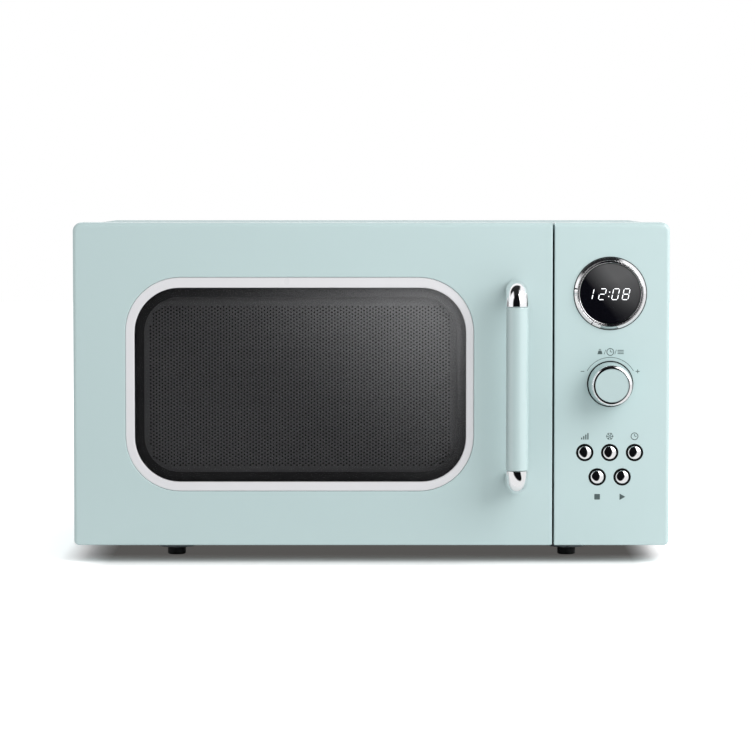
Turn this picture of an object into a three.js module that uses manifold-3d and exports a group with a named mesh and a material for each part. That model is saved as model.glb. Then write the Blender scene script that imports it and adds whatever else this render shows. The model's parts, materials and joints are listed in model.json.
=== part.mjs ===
// Retro countertop microwave oven, as an assembly of separate pieces.
// Millimetres. +X runs to the right, +Y to the back and +Z up; the front faces -Y.
// The origin is on the worktop, under the middle of the oven.
import * as THREE from 'three';
import { mergeVertices } from 'three/addons/utils/BufferGeometryUtils.js';
import Module from 'manifold-3d';

const wasm = await Module();
wasm.setup();

// ---------------------------------------------------------------- spans: [low, high] pairs

const span = ([low, high]) => high - low;
const middle = ([low, high]) => (low + high) / 2;
const grow = ([low, high], by) => [low - by, high + by];

// ---------------------------------------------------------------- driving dimensions

const WIDTH = 485;
const DEPTH = 412; // front of the handle to the back of the rear panel
const FOOT_CLEARANCE = 14; // worktop to the lower edge of the door
const FRONT_HEIGHT = 263; // door and control panel
const FRONT_THICKNESS = 32;
const HANDLE_REACH = 42; // handle's front to the door's face
const DOOR_WIDTH = 389.7;
const DOOR_GAP = 1.6; // between the door and the control panel
const SEAL_GAP = 2; // between the door's back and the front frame
const FRONT_FILLET = 2.5;
const TOP_CORNER = 7;
const BOTTOM_CORNER = 3;
const SHEET = 1.2; // sheet steel
const WALL = 2.5; // moulded plastic
const GAP = 0.3; // between pieces that rest on each other
const PAST = 2; // how far a cutting tool runs past what it cuts
const OVERLAP = 0.5; // how far two joined shapes run into each other
const NEARLY_SHARP = 0.1; // radius of a corner that has no rounding

const HALF = WIDTH / 2;
const FRONT_Y = HANDLE_REACH - DEPTH / 2;
const DOOR_BACK = FRONT_Y + FRONT_THICKNESS;
const FRAME_Y = DOOR_BACK + SEAL_GAP;
const FRONT_Z = [FOOT_CLEARANCE, FOOT_CLEARANCE + FRONT_HEIGHT];
const DOOR_X = [-HALF, DOOR_WIDTH - HALF];
const PANEL_X = [DOOR_X[1] + DOOR_GAP, HALF];
const REAR_Y = DEPTH / 2;

// The door's round window: the pale trim ring, and the glass that shows inside it
const TRIM = { x: [-200, 83.3], z: [58.3, 232.5], corner: 44.5, flange: 6, flangeDepth: 1.5 };
const GLASS = { x: [-192.7, 77], z: [65.8, 223.9], corner: 36.5, lap: 3.6, play: 0.4 };
const TRIM_FRONT = FRONT_Y + 0.7;
const GLASS_Y = [FRONT_Y + 3.8, FRONT_Y + 6.8];
const SCREEN_Y = [FRONT_Y + 14, FRONT_Y + 15];
const VIEW = { x: [-188, 73], z: [70, 220], corner: 10 }; // see-through opening in the steel
const SCREEN_LAP = 8; // screen round the see-through opening
const SCREEN_CORNER = 4;
const PAN = { x: grow(DOOR_X, -WALL - 0.4), y: [FRONT_Y + 14, DOOR_BACK - 2.5], z: [29, 262] };
const CHOKE = { x: [-236, 141], y: [DOOR_BACK - 2.2, DOOR_BACK - 0.2], z: [31, 260], corner: 6 };
const CHOKE_LAP = 3; // choke cover's opening round the see-through opening
const FILM = { y: [CHOKE.y[0], CHOKE.y[0] + 1], lap: 2.6 };

// The hinge line stands inside the door's left edge
const HINGE = { x: -231.5, y: -146, pin: 3, hole: 3.3, arm: 4.5, plate: 2, upper: 265, lower: 26 };
const HINGE_PIN = [-7.5, 0.5]; // pin's ends, from the arm it stands on
const HINGE_FOOT = [-12, 1]; // the foot's ends, behind the front frame
const HINGE_SLOT_PLAY = 0.5;
const HINGE_CORNER = 6; // rounding that lets the door's back corner swing past the frame
const NOTCH = { front: HINGE.y - 9, end: HINGE.x + 6, room: 2.5 }; // round each arm as the door swings

const HANDLE = { x: 117.2, radius: 9, bend: 10, bar: [78.1, 209.2], posts: [67.6, 221.6] };
const HANDLE_Y = FRONT_Y - HANDLE_REACH + HANDLE.radius;
const HANDLE_FULLNESS = 0.55; // how far the bend leans into its corner

// The latch's two hooks pass through slots in the door and the frame
const LATCH = { x: [130, 135], slot: [128.5, 137.5], bar: [-147, -141], tip: -112, barb: 7 };
const LATCH_PLATE_Z = [62, 232];
const HOOKS = [76, 212]; // underside of each hook's arm
const HOOK_HEIGHT = 9;
const HOOK_LEAD = 3; // slope that rides over the frame's edge
const BARB_DROP = 5;
const BARB_SLOPE = 2;
const LATCH_LIFT = 4;
const SLOT_ROOM = 2; // above and below the hooks' travel
const SPRING = { turns: 6, length: 30, radius: 3, wire: 0.5, z: 31.1 };

const CAVITY = { x: [-212, 120], y: [FRAME_Y + SHEET + GAP, 190], z: [43, 253], corner: 8 };
const CAVITY_FLANGE = 6;
const SHAFT_HOLE = 6.5;
const TURNTABLE = { x: -46, y: 30.6, radius: 152.5 };
const ROLLER = { radius: 7, bore: 2.3, axle: 2, length: 7, orbit: 97.8, count: 3 };
const ROLLER_Z = CAVITY.z[0] + GAP + ROLLER.radius;
const PLATE_Z = ROLLER_Z + ROLLER.radius + GAP;
const RING = { radii: [86, 92], half: 3.3, axle: [91, 102.5], stop: [101.9, 103.6], stopRadius: 3.2 };
const COUPLER = { stem: 5, stemZ: [39, 48], hub: 14, lobe: 4, hubBottom: 47, bore: 3.4, boreTop: 46.4 };
const LUG = { radius: 3.4, orbit: 15.7, depth: 4, count: 3 };
const TURNTABLE_MOTOR = { z: 20, radius: 25, height: 18, shaft: 3, shaftTop: 26, ear: 34, screw: 29.5 };

const BASE_Z = [FOOT_CLEARANCE + 0.5, FOOT_CLEARANCE + 0.5 + SHEET];
const FOOT = {
  x: 162.5,
  y: [-98, 150],
  radius: 7.5,
  height: 6.5,
  edge: [0.6, 0.8],
  stem: 2.2,
  barb: { start: 1.9, end: 5.5, radius: 3.3, point: 1.6 }
};
const WELL = { radius: 18.2, floor: [14.5, 13.9], rim: [18.5, 17.9], play: 0.4 }; // pad over each foot
const WRAP = { half: 240.5, z: [BASE_Z[0], 275], y: [FRAME_Y, 197.3], corner: 6 };
const BASE = { back: 195, side: 10 };
const REAR = { half: 240, z: [WRAP.z[0] + 1, WRAP.z[1] - 0.5], corners: [1, 1, 5.5, 5.5] };
const BULGE = { x: [-200, 110], z: [50, 245], corner: 12, slope: 5, depth: 40 };
const FRAME = { half: 238.9, z: [16.5, 273.2], corner: 5, lip: 10 };
const BOARD_WINDOW = { x: [152, 234], z: [40, 260] };

// Vents: the slots' width and length, and where their rows and columns start
const SLOT = 3;
const SIDE_VENT = { length: 26, y: [84, 9, 8], left: [60], right: [60, 92] };
const BASE_VENT = { length: 22, x: [66, 12, 6], y: 150 };
const FAN_VENT = { length: 26, columns: [-29, 3], z: [-34.5, 11, 7] };
const EXHAUST = { length: 12, x: [-228, 7, 3], z: 210 };
const OVEN_VENT = { length: 12, y: [120, 8, 6], z: 210 };

const DISPLAY = { x: 194, z: 219.4, ring: 29.2, lens: 24.8 };
const KNOB = { x: 194.2, z: 145.8, back: 18, front: 16.3, length: 22.5, shaft: 3 };
const KNOB_HOLE = 5.2;
const KNOB_RING = { inner: 14.5, crest: 15.2, outer: 16.1, proud: 2.4, shoulder: 1.4 };
const KNOB_CAP = { radius: 14.1, face: 13.4, proud: 1.4, shoulder: 1 };
const SHAFT_DEPTH = 14; // of the shaft's bore in the knob
const BEZEL = { tube: [25.4, 26.7], back: 6, seat: 1.2, hole: 27 };
const LENS = [-1.6, 0.9];
const BUTTON = { cap: 5.95, hole: 7.1, proud: 2.2, rim: 1.6, flange: 1.4, flangeLap: 1.3 };
const BUTTON_STEM = { radius: 2, end: 17 };
const BUTTON_ROWS = [{ z: 89.8, x: [173.7, 194, 214.2] }, { z: 69.9, x: [183.9, 204.2] }];
const BOARD = { x: [156, 234], y: [-142, -140.4], z: [60, 262] };
const BOARD_PARTS = [
  { x: [162, 186], back: -118, z: [70, 100] },
  { x: [196, 214], back: -124, z: [70, 92] },
  { x: [196, 214], back: -124, z: [100, 122] }
];
const TACT_SWITCH = { half: 3, height: 2.6 };
const ENCODER = { half: 6.5, depth: 7, neck: 4.5, neckFront: 1, shaft: [-12, 2] };
const DISPLAY_MODULE = { half: [20, 10], front: 1.4 };

// Three switches on a bracket behind the frame, which the latch's hooks work
const SWITCH = { x: 143.4, y: -112, z: [72, 176, 206], size: [10, 28, 16], hole: 1.7 };
const SWITCH_HOLES = [[6, 4], [22, 12]];
const BRACKET = { flange: [127, 150], thickness: 2, web: [140, 143], z: [58, 240], back: 24 };
const PEG = { radius: 1.4, length: 11 };
const LEDGE = { under: 3, half: 1.5, side: 2, front: 4, back: 6 };

const WAVEGUIDE = { x: [121.5, 160], y: [-15, 55], z: [125, 210], flange: 6, inlet: [8, 10] };
const MICA = { thickness: 1.2, lap: 2 };
const ANTENNA = { y: 20, z: 167, hole: 12, radius: 7, length: 18, neck: 9 };
const MAGNETRON = { length: 50, half: 38, anode: 18, fins: [10, 10, 4], finInset: [4, 0.5] };
const FILTER = { side: 25, height: 22, length: 18 }; // box at the magnetron's far end
const TRANSFORMER = { x: 185, y: 75, core: [25, 40], coreZ: [1, 67.5], base: [35, 45], baseHeight: 1.5 };
const CORE_WINDOW = { y: 20, half: 7, z: [16, 54] };
const WINDINGS = { half: [37, 26.5], corner: 8, z: [17, 53], inside: [25.5, 13.5] };
const CAPACITOR = { x: 165, y: 150, half: [26, 16], height: 80, tab: 10, tabTop: 92 };
const CLAMP = { z: [46, 58], thickness: 1.5, half: 5, foot: 42 };
const LAMP = { y: 100, z: 215, orbit: 6, hole: 1.8, holes: 6 };
const FAN = { x: 180, y: 168, z: 195, blade: 43, duct: 46, count: 5, hub: 9, bore: 2.1, shaft: 1.8 };
const SHROUD = { half: [56, 54], y: 16, duct: [-8, 17], post: 52, postRadius: 3, postFront: -13.7 };
const FAN_MOTOR = { core: [24, [-34, -18], [-30, 22]], window: [8, [-36, -16], [-24, -18]], bearing: 13 };
const GLAND = { x: 205, z: 50, hole: 8, bore: 3.8, front: 190, flange: 11, end: 8.5 };

// ---------------------------------------------------------------- finishes

const FINISH = {
  mintPaint: { color: 0xc6dada, roughness: 0.22, metalness: 0 },
  whitePlastic: { color: 0xe1e0e3, roughness: 0.3, metalness: 0 },
  chrome: { color: 0xe8e8ea, roughness: 0.06, metalness: 1 },
  blackGlass: { color: 0x101112, roughness: 0.05, metalness: 0 },
  tintedGlass: { color: 0x202224, roughness: 0.05, metalness: 0 },
  clearGlass: { color: 0xdfeae6, roughness: 0.04, metalness: 0 },
  clearFilm: { color: 0xe6e8e6, roughness: 0.1, metalness: 0 },
  blackSteel: { color: 0x3c3d3e, roughness: 0.5, metalness: 0 },
  blackPlastic: { color: 0x1b1c1d, roughness: 0.5, metalness: 0 },
  greyEnamel: { color: 0xb9bdbc, roughness: 0.35, metalness: 0 },
  zincSteel: { color: 0xb4b8ba, roughness: 0.35, metalness: 1 },
  aluminium: { color: 0xc9cbcd, roughness: 0.3, metalness: 1 },
  copper: { color: 0xb8703c, roughness: 0.35, metalness: 1 },
  brownEnamel: { color: 0x4a3a32, roughness: 0.5, metalness: 0 },
  mica: { color: 0xb8ab93, roughness: 0.7, metalness: 0 },
  rubber: { color: 0x141414, roughness: 0.8, metalness: 0 },
  whiteNylon: { color: 0xe9e7e0, roughness: 0.5, metalness: 0 },
  greenBoard: { color: 0x2e6b45, roughness: 0.5, metalness: 0 },
  lampGlass: { color: 0xf3efe2, roughness: 0.2, metalness: 0 }
};

// ---------------------------------------------------------------- shape helpers

function series(start, step, count) {
  return Array.from({ length: count }, (_, i) => start + i * step);
}

function box(x, y, z) {
  return new THREE.BoxGeometry(span(x), span(y), span(z)).translate(middle(x), middle(y), middle(z));
}

// A rounded rectangle; the radii run anticlockwise from the lower left corner
function roundedRect([x0, x1], [y0, y1], radii) {
  const [a, b, c, d] = Array.isArray(radii) ? radii : [radii, radii, radii, radii];
  const quarter = Math.PI / 2;
  const shape = new THREE.Shape();
  shape.absarc(x0 + a, y0 + a, a, 2 * quarter, 3 * quarter);
  shape.absarc(x1 - b, y0 + b, b, 3 * quarter, 4 * quarter);
  shape.absarc(x1 - c, y1 - c, c, 0, quarter);
  shape.absarc(x0 + d, y1 - d, d, quarter, 2 * quarter);
  shape.closePath();
  return shape;
}

function polygon(points) {
  return new THREE.Shape(points.map(([x, y]) => new THREE.Vector2(x, y)));
}

// Where an outline's own x, y and depth point when it is extruded along an axis
const X_AXIS = new THREE.Vector3(1, 0, 0);
const Y_AXIS = new THREE.Vector3(0, 1, 0);
const Z_AXIS = new THREE.Vector3(0, 0, 1);
const ALONG = {
  x: new THREE.Matrix4().makeBasis(Y_AXIS, Z_AXIS, X_AXIS),
  y: new THREE.Matrix4().makeBasis(X_AXIS, Z_AXIS, Y_AXIS.clone().negate()),
  z: new THREE.Matrix4().makeBasis(X_AXIS, Y_AXIS, Z_AXIS)
};

// Extrude an outline from one place along an axis to another
function extrude(axis, shape, [from, to], options = {}) {
  const settings = { depth: to - from, bevelEnabled: false, curveSegments: 2, ...options };
  const geometry = new THREE.ExtrudeGeometry(shape, settings);
  return geometry.translate(0, 0, axis === 'y' ? -to : from).applyMatrix4(ALONG[axis]);
}

// Turn a geometry made round its own Y axis so that it runs along another axis
function pointAlong(axis, geometry) {
  if (axis === 'x') return geometry.rotateZ(-Math.PI / 2);
  if (axis === 'z') return geometry.rotateX(Math.PI / 2);
  return geometry;
}

// A round rod along an axis; the centre is given in the two other axes
function rod(axis, radius, [from, to], [u, v] = [0, 0], segments = 16) {
  const rough = new THREE.CylinderGeometry(radius, radius, to - from, segments);
  const turnedRod = pointAlong(axis, rough);
  const along = (from + to) / 2;
  if (axis === 'x') return turnedRod.translate(along, u, v);
  if (axis === 'y') return turnedRod.translate(u, along, v);
  return turnedRod.translate(u, v, along);
}

// A turned shape; the profile's [radius, along] points keep the material on their left
function turned(axis, profile, segments = 24) {
  const points = profile.map(([radius, along]) => new THREE.Vector2(radius, along));
  return pointAlong(axis, new THREE.LatheGeometry(points, segments));
}

// A closed turned ring between two radii and two places along its axis
function ring(axis, [inner, outer], [from, to], segments = 24) {
  const corners = [[inner, from], [outer, from], [outer, to], [inner, to], [inner, from]];
  return turned(axis, corners, segments);
}

function toSolid(geometry) {
  const bare = geometry.clone();
  bare.deleteAttribute('normal');
  bare.deleteAttribute('uv');
  const merged = mergeVertices(bare, 1e-4);
  const triVerts = [];
  const index = merged.index.array;
  for (let i = 0; i < index.length; i += 3) {
    const [a, b, c] = [index[i], index[i + 1], index[i + 2]];
    if (a !== b && b !== c && c !== a) triVerts.push(a, b, c);
  }
  const vertProperties = Float32Array.from(merged.attributes.position.array);
  return new wasm.Manifold(new wasm.Mesh({
    numProp: 3,
    vertProperties,
    triVerts: Uint32Array.from(triVerts)
  }));
}

function toGeometry(solid) {
  const { numProp, vertProperties, triVerts } = solid.getMesh();
  const positions = [];
  for (const vertex of triVerts) {
    positions.push(...vertProperties.subarray(vertex * numProp, vertex * numProp + 3));
  }
  const geometry = new THREE.BufferGeometry();
  geometry.setAttribute('position', new THREE.Float32BufferAttribute(positions, 3));
  geometry.computeVertexNormals();
  return geometry;
}

function join(...pieces) {
  return toGeometry(pieces.map(toSolid).reduce((sum, next) => sum.add(next)));
}

function cut(body, ...tools) {
  return toGeometry(tools.map(toSolid).reduce((rest, tool) => rest.subtract(tool), toSolid(body)));
}

function common(first, second) {
  return toGeometry(toSolid(first).intersect(toSolid(second)));
}

function part(name, finish, geometry, position = [0, 0, 0]) {
  const mesh = new THREE.Mesh(geometry, new THREE.MeshStandardMaterial(finish));
  mesh.name = name;
  mesh.position.set(...position);
  return mesh;
}

function assembly(...children) {
  const group = new THREE.Group();
  group.add(...children);
  return group;
}

// ---------------------------------------------------------------- the rounded front

// The stretch of the oven's rounded front block between two x places
function frontBlock(x) {
  const corners = [BOTTOM_CORNER, BOTTOM_CORNER, TOP_CORNER, TOP_CORNER];
  const outline = roundedRect(
    [-HALF + FRONT_FILLET, HALF - FRONT_FILLET],
    grow(FRONT_Z, -FRONT_FILLET),
    corners.map((corner) => corner - FRONT_FILLET)
  );
  const block = extrude('y', outline, [FRONT_Y + FRONT_FILLET, DOOR_BACK + FRONT_FILLET], {
    bevelEnabled: true,
    bevelThickness: FRONT_FILLET,
    bevelSize: FRONT_FILLET,
    bevelSegments: 3
  });
  return common(block, box(x, [FRONT_Y - PAST, DOOR_BACK], grow(FRONT_Z, PAST)));
}

function frontHollow(x) {
  const top = TOP_CORNER - WALL;
  const outline = roundedRect(grow(x, -WALL), grow(FRONT_Z, -WALL), [0.5, 0.5, top, top]);
  return extrude('y', outline, [FRONT_Y + WALL, DOOR_BACK + PAST]);
}

function latchSlots(y) {
  const top = HOOK_HEIGHT + LATCH_LIFT + SLOT_ROOM;
  return HOOKS.map((z) => box(LATCH.slot, y, [z - BARB_DROP - SLOT_ROOM, z + top]));
}

// ---------------------------------------------------------------- door

function windowOutline({ x, z, corner }, by = 0) {
  return roundedRect(grow(x, by), grow(z, by), corner + by);
}

function doorShell() {
  const cornerX = -HALF + HINGE_CORNER;
  const cornerY = DOOR_BACK - HINGE_CORNER;
  const fullHeight = grow(FRONT_Z, PAST);
  const hingeCorner = cut(
    box([-HALF - PAST, cornerX], [cornerY, DOOR_BACK + PAST], fullHeight),
    rod('z', HINGE_CORNER, grow(fullHeight, PAST), [cornerX, cornerY], 40)
  );
  const wall = grow([FRONT_Y, FRONT_Y + WALL], PAST);
  const upperArm = [HINGE.upper, HINGE.upper + HINGE.plate];
  const lowerArm = [HINGE.lower - HINGE.plate, HINGE.lower];
  const notches = [upperArm, lowerArm].map((arm) => (
    box([-HALF - PAST, NOTCH.end], [NOTCH.front, DOOR_BACK + PAST], grow(arm, NOTCH.room))
  ));
  return cut(
    frontBlock(DOOR_X),
    frontHollow(DOOR_X),
    hingeCorner,
    extrude('y', windowOutline(TRIM, GAP), wall, { curveSegments: 5 }),
    ...notches
  );
}

function windowTrim() {
  const curves = { curveSegments: 4 };
  const flange = [FRONT_Y + WALL + GAP, FRONT_Y + WALL + GAP + TRIM.flangeDepth];
  const seat = [GLASS_Y[0] - GAP, GLASS_Y[1] + PAST];
  return cut(
    join(
      extrude('y', windowOutline(TRIM), [TRIM_FRONT, GLASS_Y[1]], curves),
      extrude('y', windowOutline(TRIM, TRIM.flange), flange, curves)
    ),
    extrude('y', windowOutline(GLASS), [TRIM_FRONT - PAST, GLASS_Y[1] + PAST], curves),
    extrude('y', windowOutline(GLASS, GLASS.lap + GLASS.play), seat, curves)
  );
}

function doorWindow() {
  return extrude('y', windowOutline(GLASS, GLASS.lap), GLASS_Y, { curveSegments: 5 });
}

function doorScreen() {
  return extrude('y', windowOutline({ ...VIEW, corner: SCREEN_CORNER }, SCREEN_LAP), SCREEN_Y);
}

function doorInnerFrame() {
  const { x, y, z } = PAN;
  const curves = { curveSegments: 3 };
  const plate = y[1] - SHEET;
  const through = [plate - PAST, y[1] + PAST];
  const pan = cut(box(x, y, z), box(grow(x, -SHEET), [y[0] - PAST, plate], grow(z, -SHEET)));
  const collar = extrude('y', windowOutline(VIEW, SHEET), [SCREEN_Y[1] + GAP, y[1]], curves);
  return cut(
    join(pan, collar),
    extrude('y', windowOutline(VIEW), grow(y, PAST), curves),
    rod('z', HINGE.hole, grow(z, PAST), [HINGE.x, HINGE.y]),
    ...latchSlots(through)
  );
}

function chokeCover() {
  const through = grow(CHOKE.y, PAST);
  return cut(
    extrude('y', windowOutline(CHOKE), CHOKE.y),
    extrude('y', windowOutline(VIEW, CHOKE_LAP), through, { curveSegments: 3 }),
    ...latchSlots(through)
  );
}

function doorFilm() {
  return extrude('y', windowOutline(VIEW, FILM.lap), FILM.y, { curveSegments: 3 });
}

function handleBar() {
  return rod('z', HANDLE.radius, [0, span(HANDLE.bar)], [0, 0], 20);
}

// A chromed elbow from the door's face round to the end of the bar, which lies below its post
function handleElbow(drop) {
  const reach = FRONT_Y - GAP - HANDLE_Y;
  const path = new THREE.CurvePath();
  const bendStart = new THREE.Vector3(0, HANDLE.bend, 0);
  const bendCorner = new THREE.Vector3(0, 0, 0);
  const bendEnd = new THREE.Vector3(0, 0, -HANDLE.bend);
  path.add(new THREE.LineCurve3(new THREE.Vector3(0, reach, 0), bendStart));
  path.add(new THREE.CubicBezierCurve3(
    bendStart,
    bendStart.clone().lerp(bendCorner, HANDLE_FULLNESS),
    bendEnd.clone().lerp(bendCorner, HANDLE_FULLNESS),
    bendEnd
  ));
  path.add(new THREE.LineCurve3(bendEnd, new THREE.Vector3(0, 0, -drop)));
  const section = new THREE.Shape().absarc(0, 0, HANDLE.radius, 0, 2 * Math.PI);
  const settings = { extrudePath: path, steps: 10, curveSegments: 9, bevelEnabled: false };
  return join(new THREE.ExtrudeGeometry(section, settings));
}

// One plate holds both hooks, so that they lift together
function latchHooks() {
  const [front, back] = LATCH.bar;
  const [bottom, top] = LATCH_PLATE_Z;
  const outline = [[front, bottom], [back, bottom]];
  for (const z of HOOKS) {
    outline.push(
      [back, z],
      [LATCH.tip - LATCH.barb, z],
      [LATCH.tip - LATCH.barb, z - BARB_DROP],
      [LATCH.tip - BARB_SLOPE, z - BARB_DROP],
      [LATCH.tip, z],
      [LATCH.tip, z + HOOK_HEIGHT - HOOK_LEAD],
      [LATCH.tip - HOOK_LEAD, z + HOOK_HEIGHT],
      [back, z + HOOK_HEIGHT]
    );
  }
  outline.push([back, top], [front, top]);
  return extrude('x', polygon(outline), LATCH.x);
}

// A tension spring that pulls the latch plate down
function latchSpring() {
  const { turns, length, radius, wire } = SPRING;
  class Helix extends THREE.Curve {
    getPoint(t) {
      const angle = 2 * Math.PI * turns * t;
      return new THREE.Vector3(radius * Math.cos(angle), radius * Math.sin(angle), length * t);
    }
  }
  const section = new THREE.Shape().absarc(0, 0, wire, 0, 2 * Math.PI);
  return join(new THREE.ExtrudeGeometry(section, {
    extrudePath: new Helix(),
    steps: turns * 7,
    curveSegments: 2,
    bevelEnabled: false
  }));
}

function door() {
  const [bottomPost, topPost] = HANDLE.posts;
  const [topDrop, bottomDrop] = [topPost - HANDLE.bar[1] - GAP, HANDLE.bar[0] - bottomPost - GAP];
  const topPlace = [HANDLE.x, HANDLE_Y, topPost];
  const bottomPlace = [HANDLE.x, HANDLE_Y, bottomPost];
  const top = part('handle_elbow_top', FINISH.chrome, handleElbow(topDrop), topPlace);
  const bottom = part('handle_elbow_bottom', FINISH.chrome, handleElbow(bottomDrop), bottomPlace);
  bottom.rotation.y = Math.PI;
  const springPlace = [middle(LATCH.x), middle(LATCH.bar), SPRING.z];
  return assembly(
    part('door_shell', FINISH.mintPaint, doorShell()),
    part('window_trim', FINISH.whitePlastic, windowTrim()),
    part('door_window', FINISH.tintedGlass, doorWindow()),
    part('door_screen', FINISH.blackSteel, doorScreen()),
    part('door_inner_frame', FINISH.blackSteel, doorInnerFrame()),
    part('choke_cover', FINISH.blackPlastic, chokeCover()),
    part('door_film', FINISH.clearFilm, doorFilm()),
    part('handle_bar', FINISH.mintPaint, handleBar(), [HANDLE.x, HANDLE_Y, HANDLE.bar[0]]),
    top,
    bottom,
    part('latch_hooks', FINISH.blackPlastic, latchHooks()),
    part('latch_spring', FINISH.zincSteel, latchSpring(), springPlace)
  );
}

// ---------------------------------------------------------------- cabinet sheets

// A slot at every place of a grid
function slotGrid(columns, rows, makeSlot) {
  return columns.flatMap((column) => rows.map((row) => makeSlot(column, row)));
}

function cabinetWrap() {
  const { half, z, y, corner } = WRAP;
  const x = [-half, half];
  const inner = corner - SHEET;
  const outside = roundedRect(x, z, [NEARLY_SHARP, NEARLY_SHARP, corner, corner]);
  const inside = roundedRect(
    grow(x, -SHEET),
    [z[0] - PAST, z[1] - SHEET],
    [NEARLY_SHARP, NEARLY_SHARP, inner, inner]
  );
  const leftWall = grow([x[0], x[0] + SHEET], PAST);
  const rightWall = grow([x[1] - SHEET, x[1]], PAST);
  const vent = (wall) => (y0, z0) => box(wall, [y0, y0 + SLOT], [z0, z0 + SIDE_VENT.length]);
  const columns = series(...SIDE_VENT.y);
  return cut(
    extrude('y', outside, y),
    extrude('y', inside, grow(y, PAST)),
    ...slotGrid(columns, SIDE_VENT.right, vent(rightWall)),
    ...slotGrid(columns, SIDE_VENT.left, vent(leftWall))
  );
}

function basePlate() {
  const half = FRAME.half;
  const [bottom, top] = BASE_Z;
  const through = grow(BASE_Z, PAST);
  const y = [FRAME_Y + SHEET + GAP, BASE.back];
  const plate = box([-half, half], y, BASE_Z);
  const sides = [[-half, -half + SHEET], [half - SHEET, half]].map((x) => (
    box(x, [FRAME_Y + FRAME.lip + 1, y[1]], [bottom, top + BASE.side])
  ));
  const places = footPlaces();
  const wells = places.map(([x, y0]) => rod('z', WELL.radius, through, [x, y0], 16));
  const pads = places.map(([x, y0]) => turned('z', footPad(), 16).translate(x, y0, 0));
  const vent = (x0, y0) => box([x0, x0 + SLOT], [y0, y0 + BASE_VENT.length], through);
  const vents = slotGrid(series(...BASE_VENT.x), [BASE_VENT.y], vent);
  return join(cut(join(plate, ...sides), ...wells, ...vents), ...pads);
}

// The profile of the pressed pad that rests on a foot
function footPad() {
  const [bottom, top] = BASE_Z;
  const floor = FOOT.height + GAP;
  const hole = FOOT.stem + WELL.play;
  return [
    [hole, floor], [WELL.floor[0], floor], [WELL.rim[0], bottom], [WELL.rim[0], top],
    [WELL.rim[1], top], [WELL.floor[1], floor + SHEET], [hole, floor + SHEET], [hole, floor]
  ];
}

function footPlaces() {
  return FOOT.y.flatMap((y) => [[-FOOT.x, y], [FOOT.x, y]]);
}

// A push-in rubber foot with a barbed stem
function foot() {
  const { radius, height, stem, edge, barb } = FOOT;
  return join(turned('z', [
    [0, 0], [radius - edge[0], 0], [radius, edge[1]], [radius, height], [stem, height],
    [stem, height + barb.start], [barb.radius, height + barb.start],
    [barb.point, height + barb.end], [0, height + barb.end]
  ], 14));
}

function feet() {
  return footPlaces().map(([x, y], i) => part(`foot_${i + 1}`, FINISH.rubber, foot(), [x, y, 0]));
}

function rearPanel() {
  const y = [WRAP.y[1] + GAP, WRAP.y[1] + GAP + SHEET];
  const through = grow(y, PAST);
  const behind = box([-HALF, HALF], [y[0], REAR_Y + PAST], grow(BULGE.z, BULGE.depth));
  const [firstRow, rowStep, rows] = FAN_VENT.z;
  const fanColumns = FAN_VENT.columns.map((x) => FAN.x + x);
  const fanVent = (x0, z0) => box([x0, x0 + FAN_VENT.length], through, [z0, z0 + SLOT]);
  const exhaust = (x0, z0) => box([x0, x0 + SLOT], through, [z0, z0 + EXHAUST.length]);
  return cut(
    join(
      extrude('y', roundedRect([-REAR.half, REAR.half], REAR.z, REAR.corners), y),
      common(rearBulge(0), behind)
    ),
    rearBulge(SHEET),
    rod('y', GLAND.hole, through, [GLAND.x, GLAND.z]),
    ...slotGrid(fanColumns, series(FAN.z + firstRow, rowStep, rows), fanVent),
    ...slotGrid(series(...EXHAUST.x), [EXHAUST.z], exhaust)
  );
}

// The pressed bulge's bevelled block, or the smaller one that hollows it
function rearBulge(inset) {
  const { x, z, corner, slope, depth } = BULGE;
  const settings = { bevelEnabled: true, bevelThickness: slope, bevelSize: slope, bevelSegments: 1 };
  const outline = roundedRect(grow(x, -inset), grow(z, -inset), corner);
  return extrude('y', outline, [REAR_Y - depth, REAR_Y - slope - inset], settings);
}

function frontFrame() {
  const { half, z, corner, lip } = FRAME;
  const y = [FRAME_Y, FRAME_Y + lip];
  const plate = [y[0], y[0] + SHEET];
  const corners = [1, 1, corner, corner];
  const through = grow(plate, PAST);
  const outline = (inset) => roundedRect(
    grow([-half, half], -inset),
    grow(z, -inset),
    corners.map((radius) => radius - inset / 2)
  );
  const slotX = grow([HINGE.x, HINGE.x], HINGE.arm + HINGE_SLOT_PLAY);
  const hingeSlots = [HINGE.upper, HINGE.lower - HINGE.plate].map((z0) => (
    box(slotX, through, grow([z0, z0 + HINGE.plate], HINGE_SLOT_PLAY))
  ));
  return cut(
    extrude('y', outline(0), y),
    extrude('y', outline(SHEET), [plate[1], y[1] + PAST]),
    extrude('y', windowOutline(CAVITY), through, { curveSegments: 3 }),
    box(BOARD_WINDOW.x, through, BOARD_WINDOW.z),
    ...latchSlots(through),
    ...hingeSlots
  );
}

// A hinge arm that reaches through the frame to a pin; it is made with the pin pointing down
function hingeArm() {
  const back = FRAME_Y + SHEET + GAP + SHEET - HINGE.y;
  const outline = new THREE.Shape();
  outline.absarc(0, 0, HINGE.arm, Math.PI, 2 * Math.PI);
  outline.lineTo(HINGE.arm, back);
  outline.lineTo(-HINGE.arm, back);
  return join(
    extrude('z', outline, [0, HINGE.plate], { curveSegments: 5 }),
    rod('z', HINGE.pin, HINGE_PIN),
    box([-HINGE.arm, HINGE.arm], [back - SHEET, back], HINGE_FOOT)
  );
}

function hinges() {
  const upper = part('hinge_upper', FINISH.zincSteel, hingeArm(), [HINGE.x, HINGE.y, HINGE.upper]);
  const lower = part('hinge_lower', FINISH.zincSteel, hingeArm(), [HINGE.x, HINGE.y, HINGE.lower]);
  lower.rotation.y = Math.PI;
  return [upper, lower];
}

// ---------------------------------------------------------------- oven cavity and its fittings

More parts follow.
